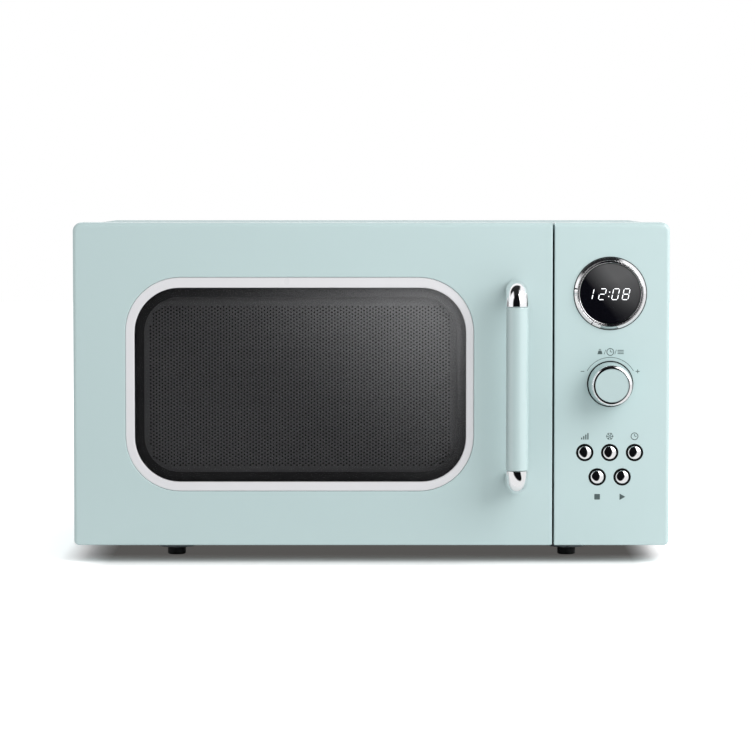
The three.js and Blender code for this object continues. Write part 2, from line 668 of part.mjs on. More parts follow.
function ovenCavity() {
  const { x, y, z, corner } = CAVITY;
  const curves = { curveSegments: 3 };
  const front = [y[0], y[0] + SHEET];
  const rightWall = [x[1] - PAST, x[1] + SHEET + PAST];
  const leftWall = grow([x[0] - SHEET, x[0]], PAST);
  const floor = grow([z[0] - SHEET, z[0]], PAST);
  const vent = (y0, z0) => box(leftWall, [y0, y0 + SLOT], [z0, z0 + OVEN_VENT.length]);
  return cut(
    join(
      extrude('y', windowOutline(CAVITY, SHEET), [y[0], y[1] + SHEET], curves),
      extrude('y', windowOutline(CAVITY, CAVITY_FLANGE), front, curves)
    ),
    extrude('y', roundedRect(x, z, corner), [y[0] - PAST, y[1]], curves),
    box(rightWall, grow(WAVEGUIDE.y, -WAVEGUIDE.inlet[0]), grow(WAVEGUIDE.z, -WAVEGUIDE.inlet[1])),
    rod('z', SHAFT_HOLE, floor, [TURNTABLE.x, TURNTABLE.y]),
    ...lampHoles(rightWall),
    ...slotGrid(series(...OVEN_VENT.y), [OVEN_VENT.z], vent)
  );
}

// One hole in the middle and a ring of holes round it, small enough to keep the microwaves in
function lampHoles(wall) {
  const angles = series(0, 2 * Math.PI / LAMP.holes, LAMP.holes);
  const around = angles.map((angle) => [LAMP.orbit * Math.cos(angle), LAMP.orbit * Math.sin(angle)]);
  return [[0, 0], ...around].map(([u, v]) => rod('x', LAMP.hole, wall, [LAMP.y + u, LAMP.z + v], 6));
}

// The duct that carries the microwaves in, open towards the oven
function waveguide() {
  const { x, y, z, flange } = WAVEGUIDE;
  return cut(
    join(box(x, y, z), box([x[0], x[0] + SHEET], grow(y, flange), grow(z, flange))),
    box([x[0] - PAST, x[1] - SHEET], grow(y, -SHEET), grow(z, -SHEET)),
    rod('x', ANTENNA.hole, grow([x[1] - SHEET, x[1]], PAST), [ANTENNA.y, ANTENNA.z])
  );
}

function waveguideCover() {
  const back = CAVITY.x[1] - GAP;
  return box([back - MICA.thickness, back], grow(WAVEGUIDE.y, MICA.lap), grow(WAVEGUIDE.z, MICA.lap));
}

// The magnetron lies on its side, with its antenna pointing into the waveguide
function magnetron() {
  const { length, half, anode, fins, finInset } = MAGNETRON;
  const side = [-half, half];
  const neckEnd = -6;
  const finPlates = series(...fins).map((x) => (
    box([x, x + 1], grow(side, -finInset[0]), grow(side, -finInset[1]))
  ));
  return join(
    rod('x', anode, [OVERLAP, length - OVERLAP], [0, 0], 12),
    box([0, SHEET], side, side),
    box([length - SHEET, length], side, side),
    box([0, length], side, [-half, -half + SHEET]),
    box([0, length], side, [half - SHEET, half]),
    ...finPlates,
    rod('x', ANTENNA.neck, [neckEnd, OVERLAP]),
    rod('x', ANTENNA.radius, [-ANTENNA.length, neckEnd + OVERLAP], [0, 0], 12),
    box(
      [length - OVERLAP, length + FILTER.length],
      [-FILTER.side, FILTER.side],
      [-FILTER.height, FILTER.height]
    )
  );
}

function transformerCore() {
  const { core, coreZ, base, baseHeight } = TRANSFORMER;
  const [x, y] = [[-core[0], core[0]], [-core[1], core[1]]];
  const windows = [-CORE_WINDOW.y, CORE_WINDOW.y].map((place) => (
    box(grow(x, 1), grow([place, place], CORE_WINDOW.half), CORE_WINDOW.z)
  ));
  return join(
    cut(box(x, y, coreZ), ...windows),
    box([-base[0], base[0]], [-base[1], base[1]], [0, baseHeight])
  );
}

function transformerWindings() {
  const { half, corner, z, inside } = WINDINGS;
  const outline = roundedRect([-half[0], half[0]], [-half[1], half[1]], corner);
  return cut(
    extrude('z', outline, z, { curveSegments: 3 }),
    box([-inside[0], inside[0]], [-inside[1], inside[1]], grow(z, PAST))
  );
}

function capacitor() {
  const { height, tab, tabTop } = CAPACITOR;
  const can = extrude('z', capacitorOutline(0), [0, height], { curveSegments: 3 });
  const terminals = [-tab, tab].map((x) => box([x - 0.5, x + 0.5], [-3.2, 3.2], [height - 1, tabTop]));
  return join(can, ...terminals);
}

function capacitorOutline(by) {
  const [x, y] = CAPACITOR.half.map((half) => half + by);
  return roundedRect([-x, x], [-y, y], y - NEARLY_SHARP);
}

function capacitorClamp() {
  const { z, thickness, half, foot: footEnd } = CLAMP;
  const curves = { curveSegments: 3 };
  const side = CAPACITOR.half[0];
  const leg = [side + 0.4, side + thickness];
  return join(
    cut(
      extrude('z', capacitorOutline(thickness), z, curves),
      extrude('z', capacitorOutline(GAP), grow(z, PAST), curves)
    ),
    box(leg, [-half, half], [0, middle(z)]),
    box([leg[0], footEnd], [-half, half], [0, SHEET])
  );
}

function fanShroud() {
  const { half, y, duct, post, postRadius, postFront } = SHROUD;
  const posts = [-post, post].map((x) => rod('y', postRadius, [postFront, duct[1]], [x, 0], 8));
  return cut(
    join(
      box([-half[0], half[0]], [y, y + SHEET], [-half[1], half[1]]),
      rod('y', FAN.duct + 2, duct, [0, 0], 28),
      ...posts
    ),
    rod('y', FAN.duct, grow(duct, PAST), [0, 0], 28)
  );
}

function fanMotor() {
  const [coreHalf, ...core] = FAN_MOTOR.core;
  const [windowHalf, ...window] = FAN_MOTOR.window;
  const strap = [-16, -14];
  return join(
    cut(box([-coreHalf, coreHalf], ...core), box([-windowHalf, windowHalf], ...window)),
    rod('y', FAN_MOTOR.bearing, [-38, strap[0] + OVERLAP]),
    box([-SHROUD.half[0], SHROUD.half[0]], strap, [-5, 5]),
    rod('y', FAN.shaft, [middle(strap), 6], [0, 0], 10)
  );
}

function fanBlade() {
  const { count, hub, blade, bore } = FAN;
  const pitch = -Math.PI / 3.2;
  const hubEnds = [-7.5, 7.5];
  const blades = series(0, 2 * Math.PI / count, count).map((angle) => (
    box([hub - 2, blade], [-0.8, 0.8], [-13, 13]).rotateX(pitch).rotateY(angle)
  ));
  return cut(
    join(rod('y', hub, hubEnds, [0, 0], 16), ...blades),
    rod('y', bore, grow(hubEnds, PAST), [0, 0], 10)
  );
}

// The lamp's holder is a cup against the oven wall, with the bulb inside it
function ovenLamp() {
  return join(turned('x', [
    [0, 4], [4, 5], [7, 9], [7, 14], [12, 14], [12, 0.3], [13, 0.3], [13, 16], [9, 16], [9, 30], [0, 30]
  ], 16));
}

// ---------------------------------------------------------------- turntable

function turntableMotor() {
  const { radius, height, shaft, shaftTop, ear, screw } = TURNTABLE_MOTOR;
  const earZ = [height - SHEET, height];
  const screwHoles = [-screw, screw].map((x) => rod('z', 1.8, grow(earZ, PAST), [x, 0], 12));
  return join(
    rod('z', radius, [0, height], [0, 0], 24),
    cut(box([-ear, ear], [-6, 6], earZ), ...screwHoles),
    rod('z', shaft, [height - 1, shaftTop], [0, 0], 12)
  );
}

// A stem through the oven floor, under a three-lobed hub that drives the glass plate
function driveCoupler() {
  const { stem, stemZ, hub, lobe, hubBottom, bore, boreTop } = COUPLER;
  const steps = 30;
  const lobes = polygon(series(0, 2 * Math.PI / steps, steps).map((angle) => {
    const radius = hub + lobe * Math.cos(LUG.count * angle);
    return [radius * Math.cos(angle), radius * Math.sin(angle)];
  }));
  const hubTop = PLATE_Z - GAP - 0.1;
  return cut(
    join(rod('z', stem, stemZ), extrude('z', lobes, [hubBottom, hubTop])),
    rod('z', bore, [stemZ[0] - PAST, boreTop], [0, 0], 12)
  );
}

function turntablePlate() {
  const { radius, orbit, depth, count } = LUG;
  const lug = (angle) => (
    rod('z', radius, [-depth, 1], [orbit * Math.cos(angle), orbit * Math.sin(angle)], 10)
  );
  const dish = turned('z', [
    [0, 0], [126, 0], [142, 4], [TURNTABLE.radius, 13.5], [151, 14.4], [148.5, 13],
    [138, 6], [124, 4], [0, 4]
  ], 32);
  return join(dish, ...series(Math.PI / count, 2 * Math.PI / count, count).map(lug));
}

function rollerRing() {
  const axles = rollerAngles().flatMap((angle) => [
    rod('x', ROLLER.axle, RING.axle, [0, 0], 10).rotateZ(angle),
    rod('x', RING.stopRadius, RING.stop, [0, 0], 10).rotateZ(angle)
  ]);
  return join(ring('z', RING.radii, [-RING.half, RING.half], 30), ...axles);
}

function rollerAngles() {
  return series(Math.PI / 2, 2 * Math.PI / ROLLER.count, ROLLER.count);
}

function roller() {
  const half = ROLLER.length / 2;
  return join(ring('x', [ROLLER.bore, ROLLER.radius], [-half, half], 14));
}

function rollers() {
  return rollerAngles().map((angle, i) => {
    const place = [ROLLER.orbit * Math.cos(angle), ROLLER.orbit * Math.sin(angle), 0];
    const mesh = part(`roller_${i + 1}`, FINISH.whiteNylon, roller(), place);
    mesh.rotation.z = angle;
    return mesh;
  });
}

function turntable() {
  const running = assembly(part('roller_ring', FINISH.whiteNylon, rollerRing()), ...rollers());
  running.position.z = ROLLER_Z;
  const group = assembly(
    part('turntable_motor', FINISH.zincSteel, turntableMotor(), [0, 0, TURNTABLE_MOTOR.z]),
    part('drive_coupler', FINISH.whiteNylon, driveCoupler()),
    part('turntable_plate', FINISH.clearGlass, turntablePlate(), [0, 0, PLATE_Z]),
    running
  );
  group.position.set(TURNTABLE.x, TURNTABLE.y, 0);
  return group;
}

// ---------------------------------------------------------------- door switches

function switchBracket() {
  const { flange, thickness, web, z, back } = BRACKET;
  const front = FRAME_Y + SHEET + GAP;
  const flangeY = [front, front + thickness];
  const pegX = [web[1] - OVERLAP, web[1] + PEG.length];
  const pegs = SWITCH.z.flatMap((place) => SWITCH_HOLES.map(([u, v]) => (
    rod('x', PEG.radius, pegX, [SWITCH.y + u, place + v], 8)
  )));
  return join(
    cut(box(flange, flangeY, z), ...latchSlots(grow(flangeY, PAST))),
    box(web, [flangeY[1] - OVERLAP, SWITCH.y + back], z),
    ...hookLedges(front),
    ...pegs
  );
}

// A ledge under each hook's barb
function hookLedges(front) {
  const x = [LATCH.x[0] - LEDGE.side, BRACKET.web[0] + OVERLAP];
  const y = [front + LEDGE.front, LATCH.tip + LEDGE.back];
  const middles = HOOKS.map((hook) => hook - BARB_DROP - LEDGE.under);
  return middles.map((z) => box(x, y, grow([z, z], LEDGE.half)));
}

function doorSwitch() {
  const [width, length, height] = SWITCH.size;
  const holes = SWITCH_HOLES.map(([u, v]) => rod('x', SWITCH.hole, grow([0, width], PAST), [u, v], 10));
  const terminals = [3, 8, 13].map((z) => box([4, 5], [length - 1, length + 7], [z - 1.5, z + 1.5]));
  return join(
    cut(box([0, width], [0, length], [0, height]), ...holes),
    box([3, 7], [-1.5, OVERLAP], [11, 13]),
    ...terminals
  );
}

function doorSwitches() {
  return SWITCH.z.map((z, i) => (
    part(`door_switch_${i + 1}`, FINISH.blackPlastic, doorSwitch(), [SWITCH.x, SWITCH.y, z])
  ));
}

// ---------------------------------------------------------------- control panel

function buttonPlaces() {
  return BUTTON_ROWS.flatMap(({ x, z }) => x.map((place) => [place, FRONT_Y, z]));
}

function controlPanel() {
  const wall = grow([FRONT_Y, FRONT_Y + WALL], PAST);
  return cut(
    frontBlock(PANEL_X),
    frontHollow(PANEL_X),
    rod('y', BEZEL.hole, wall, [DISPLAY.x, DISPLAY.z], 28),
    rod('y', KNOB_HOLE, wall, [KNOB.x, KNOB.z]),
    ...buttonPlaces().map(([x, , z]) => rod('y', BUTTON.hole, wall, [x, z], 16))
  );
}

function displayBezel() {
  const { ring: outer, lens } = DISPLAY;
  const { tube, back, seat } = BEZEL;
  return join(turned('y', [
    [lens, -2], [lens + 0.8, -2.6], [outer - 1.4, -2.2], [outer, -GAP], [tube[1], -GAP],
    [tube[1], back], [tube[0], back], [tube[0], seat], [lens, seat], [lens, -2]
  ], 28));
}

function displayLens() {
  return rod('y', DISPLAY.lens - GAP - 0.2, LENS, [0, 0], 28);
}

function displayModule() {
  const [x, z] = DISPLAY_MODULE.half;
  return box([-x, x], [DISPLAY_MODULE.front, BOARD.y[0] - GAP - FRONT_Y], [-z, z]);
}

// The board carries a small switch behind each button, and its tall parts reach back
// through the frame's window
function controlBoard() {
  const [front, back] = BOARD.y;
  const switches = buttonPlaces().map(([x, , z]) => (
    box(
      grow([x, x], TACT_SWITCH.half),
      [front - TACT_SWITCH.height, front + OVERLAP],
      grow([z, z], TACT_SWITCH.half)
    )
  ));
  const tallParts = BOARD_PARTS.map(({ x, back: end, z }) => box(x, [back - OVERLAP, end], z));
  return join(box(BOARD.x, BOARD.y, BOARD.z), ...switches, ...tallParts);
}

function encoder() {
  const { half, depth, neck, neckFront, shaft } = ENCODER;
  const boardFront = BOARD.y[0] - GAP - FRONT_Y;
  return join(
    box([-half, half], [boardFront - depth, boardFront], [-half, half]),
    rod('y', neck, [neckFront, boardFront - depth + 1], [0, 0], 16),
    rod('y', KNOB.shaft, shaft, [0, 0], 16)
  );
}

// The knob tapers from its back, on the panel, to the chrome ring round its face
function knobBody() {
  const { back, front, length, shaft } = KNOB;
  const bore = shaft + GAP;
  const lift = -0.5; // the knob turns clear of the panel
  return join(turned('y', [
    [0, -length], [front, -length], [front + 0.5, -length + 1], [back, -2], [back - 0.5, lift],
    [bore, lift], [bore, -SHAFT_DEPTH], [0, -SHAFT_DEPTH]
  ], 28));
}

function knobRing() {
  const end = -KNOB.length - GAP;
  const { inner, crest, outer, proud, shoulder } = KNOB_RING;
  const start = [inner, end - 1.6];
  return join(turned('y', [
    start, [crest, end - proud], [outer, end - shoulder], [outer, end], [inner, end], start
  ], 28));
}

function knobCap() {
  const end = -KNOB.length - GAP;
  const { radius, face, proud, shoulder } = KNOB_CAP;
  return join(turned('y', [
    [0, end - proud], [face, end - proud], [radius, end - shoulder], [radius, end], [0, end]
  ], 28));
}

function knob() {
  const group = assembly(
    part('knob_body', FINISH.mintPaint, knobBody()),
    part('knob_ring', FINISH.chrome, knobRing()),
    part('knob_cap', FINISH.mintPaint, knobCap())
  );
  group.position.set(KNOB.x, FRONT_Y, KNOB.z);
  return group;
}

// A domed cap on a stem, with a flange that keeps it behind the panel
function button() {
  const { cap, hole, proud, rim, flange, flangeLap } = BUTTON;
  const { radius, end } = BUTTON_STEM;
  const [flangeFront, flangeBack] = [WALL + GAP, WALL + GAP + flange];
  const edge = hole + flangeLap;
  return join(turned('y', [
    [0, -proud], [cap * 0.6, -proud + 0.25], [cap, -proud + rim],
    [cap, flangeFront], [edge, flangeFront], [edge, flangeBack], [radius, flangeBack],
    [radius, end], [0, end]
  ], 12));
}

function buttons() {
  return buttonPlaces().map((place, i) => part(`button_${i + 1}`, FINISH.chrome, button(), place));
}

function controls() {
  const display = [DISPLAY.x, FRONT_Y, DISPLAY.z];
  return assembly(
    part('control_panel', FINISH.mintPaint, controlPanel()),
    part('display_bezel', FINISH.chrome, displayBezel(), display),
    part('display_lens', FINISH.blackGlass, displayLens(), display),
    part('display_module', FINISH.blackPlastic, displayModule(), display),
    part('control_board', FINISH.greenBoard, controlBoard()),
    part('encoder', FINISH.zincSteel, encoder(), [KNOB.x, FRONT_Y, KNOB.z]),
    knob(),
    ...buttons()
  );
}

// ---------------------------------------------------------------- the whole oven

// A ring gland for the mains lead, clipped into the rear panel
function cordGland() {
  const back = WRAP.y[1] + GAP + SHEET + GAP;
  const { bore, front, flange, end } = GLAND;
  const body = GLAND.hole - 0.4;
  return join(turned('y', [
    [bore, front], [body, front], [body, back], [flange, back], [flange, back + 1.5],
    [end, back + 4.5], [bore, back + 4.5], [bore, front]
  ], 16));
}

function cabinet() {
  return assembly(
    part('cabinet_wrap', FINISH.mintPaint, cabinetWrap()),
    part('base_plate', FINISH.zincSteel, basePlate()),
    part('rear_panel', FINISH.zincSteel, rearPanel()),
    part('front_frame', FINISH.greyEnamel, frontFrame()),
    part('cord_gland', FINISH.blackPlastic, cordGland(), [GLAND.x, 0, GLAND.z]),
    ...feet(),
    ...hinges()
  );
}

function works() {
  const fanPlace = [FAN.x, FAN.y, FAN.z];
  const floor = BASE_Z[1] + GAP;
  const transformerPlace = [TRANSFORMER.x, TRANSFORMER.y, floor];
  const capacitorPlace = [CAPACITOR.x, CAPACITOR.y, floor];
  return assembly(
    part('oven_cavity', FINISH.greyEnamel, ovenCavity()),
    part('waveguide_cover', FINISH.mica, waveguideCover()),
    part('waveguide', FINISH.zincSteel, waveguide()),
    part('magnetron', FINISH.aluminium, magnetron(), [WAVEGUIDE.x[1] + GAP, ANTENNA.y, ANTENNA.z]),
    part('transformer_core', FINISH.brownEnamel, transformerCore(), transformerPlace),
    part('transformer_windings', FINISH.copper, transformerWindings(), transformerPlace),
    part('capacitor', FINISH.aluminium, capacitor(), capacitorPlace),
    part('capacitor_clamp', FINISH.zincSteel, capacitorClamp(), capacitorPlace),
    part('fan_shroud', FINISH.blackPlastic, fanShroud(), fanPlace),
    part('fan_motor', FINISH.brownEnamel, fanMotor(), fanPlace),
    part('fan_blade', FINISH.whiteNylon, fanBlade(), fanPlace),
    part('oven_lamp', FINISH.lampGlass, ovenLamp(), [CAVITY.x[1] + SHEET, LAMP.y, LAMP.z]),
    part('switch_bracket', FINISH.blackPlastic, switchBracket()),
    ...doorSwitches(),
    turntable()
  );
}

export default assembly(cabinet(), works(), controls(), door());
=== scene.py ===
"""The looks of a retro countertop microwave oven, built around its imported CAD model.

Blender works in metres. The shapes below are given in millimetres, in the model's own frame
(+X right, +Y to the back, +Z up), and solid() turns them into metres.
"""
import json
from math import atan2, cos, hypot, pi, radians, sin, tan

import bmesh
import bpy
from mathutils import Matrix, Vector


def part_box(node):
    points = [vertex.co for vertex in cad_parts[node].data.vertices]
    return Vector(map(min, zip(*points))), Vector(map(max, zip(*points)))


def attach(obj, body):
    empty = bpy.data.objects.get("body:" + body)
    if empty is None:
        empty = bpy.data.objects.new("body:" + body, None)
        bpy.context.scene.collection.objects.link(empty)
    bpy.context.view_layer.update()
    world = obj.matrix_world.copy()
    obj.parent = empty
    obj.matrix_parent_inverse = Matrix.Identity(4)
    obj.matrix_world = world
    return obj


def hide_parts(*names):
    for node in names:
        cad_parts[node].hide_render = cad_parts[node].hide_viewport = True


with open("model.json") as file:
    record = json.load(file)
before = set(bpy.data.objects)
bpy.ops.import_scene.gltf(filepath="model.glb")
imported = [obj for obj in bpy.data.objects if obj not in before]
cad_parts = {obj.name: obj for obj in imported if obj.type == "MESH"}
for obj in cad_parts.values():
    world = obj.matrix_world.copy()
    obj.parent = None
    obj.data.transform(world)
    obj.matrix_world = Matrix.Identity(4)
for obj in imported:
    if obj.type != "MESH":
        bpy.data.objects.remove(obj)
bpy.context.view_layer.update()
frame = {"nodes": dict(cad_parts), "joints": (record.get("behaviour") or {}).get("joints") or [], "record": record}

MM = 0.001
QUARTER = pi / 2
SHARP = radians(32)
SAME_POINT = 2e-6
SLIVER = 1e-7
NODES = frame["nodes"]
RECORD = frame["record"]
BODY_OF = {node: body for body, nodes in RECORD["behaviour"]["bodies"].items() for node in nodes}
SLOT_OF = {row["node"]: row["material_slot"] for row in RECORD["subparts"]}


# -------- places, from the frame

def spans(node):
    """A CAD node's x, y and z spans in millimetres."""
    low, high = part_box(node)
    return [(low[i] / MM, high[i] / MM) for i in range(3)]


def grow(span, by):
    return span[0] - by, span[1] + by


def middle(span):
    return (span[0] + span[1]) / 2


def centre_of(node):
    return tuple(middle(span) for span in spans(node))


DOOR_X, DOOR_Y, DOOR_Z = spans("door_shell")
PANEL_X = spans("control_panel")[0]
FRONT, BACK = DOOR_Y
WALL = 2.5
TRIM_FLANGE = 6
TRIM_X, TRIM_Y, TRIM_Z = spans("window_trim")
TRIM_X, TRIM_Z = grow(TRIM_X, -TRIM_FLANGE), grow(TRIM_Z, -TRIM_FLANGE)
TRIM_CORNER = 44.5
GLASS_LAP = 3.6
GLASS_X, GLASS_Y, GLASS_Z = spans("door_window")
GLASS_X, GLASS_Z = grow(GLASS_X, -GLASS_LAP), grow(GLASS_Z, -GLASS_LAP)
GLASS_CORNER = 36.5
HINGE_X, HINGE_Y = (value / MM for value in frame["joints"][0]["pos_m"][:2])
DISPLAY = centre_of("display_bezel")[::2]
KNOB = centre_of("knob_body")[::2]
BUTTONS = [f"button_{i}" for i in range(1, 6)]
BUTTON_PLACES = [centre_of(node)[::2] for node in BUTTONS]


# -------- shape helpers

def remove(objects):
    for obj in objects:
        bpy.data.objects.remove(obj)


def new_object(data, name="shape"):
    obj = bpy.data.objects.new(name, data)
    bpy.context.scene.collection.objects.link(obj)
    return obj


def modify(obj, name, kind, **settings):
    modifier = obj.modifiers.new(name, kind)
    for key, value in settings.items():
        setattr(modifier, key, value)


def solid(points, faces):
    """An object from points in millimetres, with doubles merged and its faces pointing out."""
    mesh = bpy.data.meshes.new("shape")
    mesh.from_pydata([Vector(point) * MM for point in points], [], faces)
    shape = bmesh.new()
    shape.from_mesh(mesh)
    bmesh.ops.remove_doubles(shape, verts=shape.verts, dist=SAME_POINT)
    bmesh.ops.dissolve_degenerate(shape, edges=shape.edges, dist=SLIVER)
    bmesh.ops.recalc_face_normals(shape, faces=shape.faces)
    shape.to_mesh(mesh)
    shape.free()
    return new_object(mesh)


def loft(rings, ends="capped"):
    """A skin through rings of equally many points. Its ends are capped, open or joined."""
    count = len(rings[0])
    points = [point for ring in rings for point in ring]
    faces = []
    for i in range(len(rings) if ends == "joined" else len(rings) - 1):
        first, second = i * count, (i + 1) % len(rings) * count
        for k in range(count):
            n = (k + 1) % count
            faces.append((first + k, first + n, second + n, second + k))
    if ends == "capped":
        last = (len(rings) - 1) * count
        faces.append(tuple(reversed(range(count))))
        faces.append(tuple(range(last, last + count)))
    return solid(points, faces)


def merge(first, *others):
    """One mesh that holds several separate closed bodies."""
    shape = bmesh.new()
    for obj in (first, *others):
        shape.from_mesh(obj.data)
    shape.to_mesh(first.data)
    shape.free()
    remove(others)
    return first


def baked(obj):
    """The object with its modifiers made part of its mesh."""
    graph = bpy.context.evaluated_depsgraph_get()
    mesh = bpy.data.meshes.new_from_object(obj.evaluated_get(graph))
    obj.modifiers.clear()
    obj.data = mesh
    return obj


def carve(target, *cutters):
    for cutter in cutters:
        modify(target, "carve", "BOOLEAN", operation="DIFFERENCE", solver="EXACT", object=cutter)
    baked(target)
    remove(cutters)
    return target


def polar(centre, radius, angle):
    return centre[0] + radius * cos(angle), centre[1] + radius * sin(angle)


def circle(centre, radius, segments=48):
    return [polar(centre, radius, 2 * pi * k / segments) for k in range(segments)]


def outline(u, v, radii, steps=8):
    """A rounded rectangle, anticlockwise from the lower left corner, whose radius comes first."""
    radii = radii if isinstance(radii, (list, tuple)) else [radii] * 4
    corners = ((u[0], v[0], 1, 1), (u[1], v[0], -1, 1), (u[1], v[1], -1, -1), (u[0], v[1], 1, -1))
    points = []
    for quarter, ((u0, v0, to_right, up), radius) in enumerate(zip(corners, radii)):
        centre = (u0 + to_right * radius, v0 + up * radius)
        for step in range(steps + 1):
            points.append(polar(centre, radius, pi * (1 + (quarter + step / steps) / 2)))
    return points


def rounded(corners, closed=True, steps=5):
    """A line through corners (u, v) or (u, v, radius), with an arc at each that has a radius."""
    points = []
    for i, (u, v, *radius) in enumerate(corners):
        if not radius or (not closed and i in (0, len(corners) - 1)):
            points.append((u, v))
            continue
        here = Vector((u, v))
        before = (Vector(corners[i - 1][:2]) - here).normalized()
        after = (Vector(corners[(i + 1) % len(corners)][:2]) - here).normalized()
        half = before.angle(after) / 2
        centre = here + (before + after).normalized() * (radius[0] / sin(half))
        reach = radius[0] / tan(half)
        start, end = here + before * reach - centre, here + after * reach - centre
        first = atan2(start.y, start.x)
        turn = (atan2(end.y, end.x) - first + pi) % (2 * pi) - pi
        for step in range(steps + 1):
            points.append(polar(centre, radius[0], first + turn * step / steps))
    return points


def place(axis, u, v, along):
    """The point that lies along an axis, at u and v in the two other axes."""
    return {"x": (along, u, v), "y": (u, along, v), "z": (u, v, along)}[axis]


def prism(axis, points, span):
    return loft([[place(axis, u, v, along) for u, v in points] for along in span])


def prisms(polygons, y):
    """Flat closed bodies, one for each outline."""
    return merge(*[prism("y", points, y) for points in polygons])


def block(axis, u, v, along, radius=0.2, steps=4):
    return prism(axis, outline(u, v, radius, steps), along)


def lathe(axis, profile, centre, segments=64, start=0):
    """A turned shape. Its (radius, along) profile is closed, or starts and ends on the axis."""
    rings = [
        [place(axis, u, v, start + along) for u, v in circle(centre, radius, segments)]
        for radius, along in profile
    ]
    on_axis = profile[0][0] < 1e-6
    return loft(rings, "open" if on_axis else "joined")


def at_depth(points, y):
    return [(x, y, z) for x, z in points]


def window_outline(share, by=0, steps=12):
    """An outline between the trim's outer edge, at share 0, and the glass's edge, at share 1."""
    def between(outer, inner):
        return outer + (inner - outer) * share

    x = tuple(between(a, b) for a, b in zip(TRIM_X, GLASS_X))
    z = tuple(between(a, b) for a, b in zip(TRIM_Z, GLASS_Z))
    return outline(grow(x, by), grow(z, by), between(TRIM_CORNER, GLASS_CORNER) + by, steps)


def smooth(obj):
    """Smooth faces, with sharp edges only where the surface turns by more than a limit."""
    shape = bmesh.new()
    shape.from_mesh(obj.data)
    for face in shape.faces:
        face.smooth = True
    for edge in shape.edges:
        edge.smooth = edge.calc_face_angle(0) < SHARP
    shape.to_mesh(obj.data)
    shape.free()
    modify(obj, "weighted_normals", "WEIGHTED_NORMAL", keep_sharp=True)


def piece(obj, name, node, finish=None, slot=None):
    """A finished piece that rides with a CAD node's body.

    It stands for that node, unless it has a slot of its own.
    """
    obj.name = obj.data.name = name
    obj.data.materials.clear()
    obj.data.materials.append(LOOKS[finish or SLOT_OF[node]])
    smooth(obj)
    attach(obj, BODY_OF[node])
    if not slot:
        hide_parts(node)


def turned(profile, centre, name, *rest, segments=96):
    """A piece turned about an axis along y."""
    piece(lathe("y", profile, centre, segments), name, *rest)


# -------- materials

def empty_tree(owner):
    owner.use_nodes = True
    owner.node_tree.nodes.clear()
    return owner.node_tree


def feed(node, **inputs):
    """A node with inputs linked or set: _0 is its first one, and Base_Color the one of that name."""
    for key, value in inputs.items():
        socket = node.inputs[int(key[1:]) if key[1:].isdigit() else key.replace("_", " ")]
        if isinstance(value, bpy.types.NodeSocket):
            node.id_data.links.new(value, socket)
        else:
            socket.default_value = value
    return node


def add_node(tree, kind, settings=None, prefix="ShaderNode", **inputs):
    node = tree.nodes.new(prefix + kind)
    for key, value in (settings or {}).items():
        setattr(node, key, value)
    return feed(node, **inputs)


def nodes_of():
    """A new material, its node tree and its shader. LOOKS names the material."""
    material = bpy.data.materials.new("finish")
    tree = empty_tree(material)
    shader = add_node(tree, "BsdfPrincipled")
    add_node(tree, "OutputMaterial", _0=shader.outputs[0])
    return material, tree, shader


def find(tree, kind):
    return next(node for node in tree.nodes if node.type == kind)


def maths(tree, operation, *values, kind="Math", result=0):
    """A result of a math node that is given one value or two."""
    inputs = {f"_{i}": value for i, value in enumerate(values)}
    return add_node(tree, kind, {"operation": operation}, **inputs).outputs[result]


def own_point(tree):
    """The point in the object's own coordinates."""
    return add_node(tree, "TexCoord").outputs["Object"]


def stretched(tree, stretch=(1, 1, 1)):
    return add_node(tree, "Mapping", Vector=own_point(tree), Scale=stretch).outputs[0]


def noise(tree, size, stretch=(1, 1, 1), detail=3):
    """Noise whose features are about size millimetres across."""
    inputs = {"Vector": stretched(tree, stretch), "Scale": 1 / (size * MM), "Detail": detail}
    return add_node(tree, "TexNoise", **inputs).outputs[0]


def ranged(tree, value, low, high, lowest=0.3, highest=0.7):
    """A value's range from lowest to highest, brought to one from low to high."""
    inputs = {"_0": value, "_1": lowest, "_2": highest, "_3": low, "_4": high}
    return add_node(tree, "MapRange", **inputs).outputs[0]


def mixed(tree, share, *colours):
    """A colour that goes from the first to the second as the share goes from 0 to 1."""
    first, second = (
        colour if isinstance(colour, bpy.types.NodeSocket) else (*colour, 1) for colour in colours
    )
    return add_node(tree, "Mix", {"data_type": "RGBA"}, _0=share, _6=first, _7=second).outputs[2]


def bump(tree, height, strength, distance):
    inputs = {"Height": height, "Strength": strength, "Distance": distance}
    return add_node(tree, "Bump", **inputs).outputs[0]


def added(tree, first, second):
    return add_node(tree, "AddShader", _0=first, _1=second).outputs[0]


def tint(colour, by):
    return tuple(channel * by for channel in colour)


def surface(colour, roughness, metallic=0.0, vary=0.03, vary_size=40, grain=None,
            peel=(1.5, 0.04), stretch=(1, 1, 1), **constants):
    """A finish with drifting colour, uneven roughness and a fine bump.

    roughness is a (low, high) pair, peel is the bump's (size in mm, strength), and grain is an
    optional (size in mm, darker share) for a second, finer colour variation.
    """
    material, tree, shader = nodes_of()
    drift = ranged(tree, noise(tree, vary_size, detail=1), 0, 1, 0.1, 0.9)
    base = mixed(tree, drift, tint(colour, 1 - vary), tint(colour, 1 + vary))
    if grain:
        specks = ranged(tree, noise(tree, grain[0], stretch, 5), 0, 1)
        base = mixed(tree, specks, base, tint(colour, 1 - grain[1]))
    smear = noise(tree, vary_size / 2, stretch, 1)
    height = noise(tree, peel[0], stretch, 2)
    feed(
        shader, Base_Color=base, Roughness=ranged(tree, smear, *roughness, 0.1, 0.9),
        Normal=bump(tree, height, peel[1], peel[0] * MM / 4), Metallic=metallic, **constants,
    )
    return material


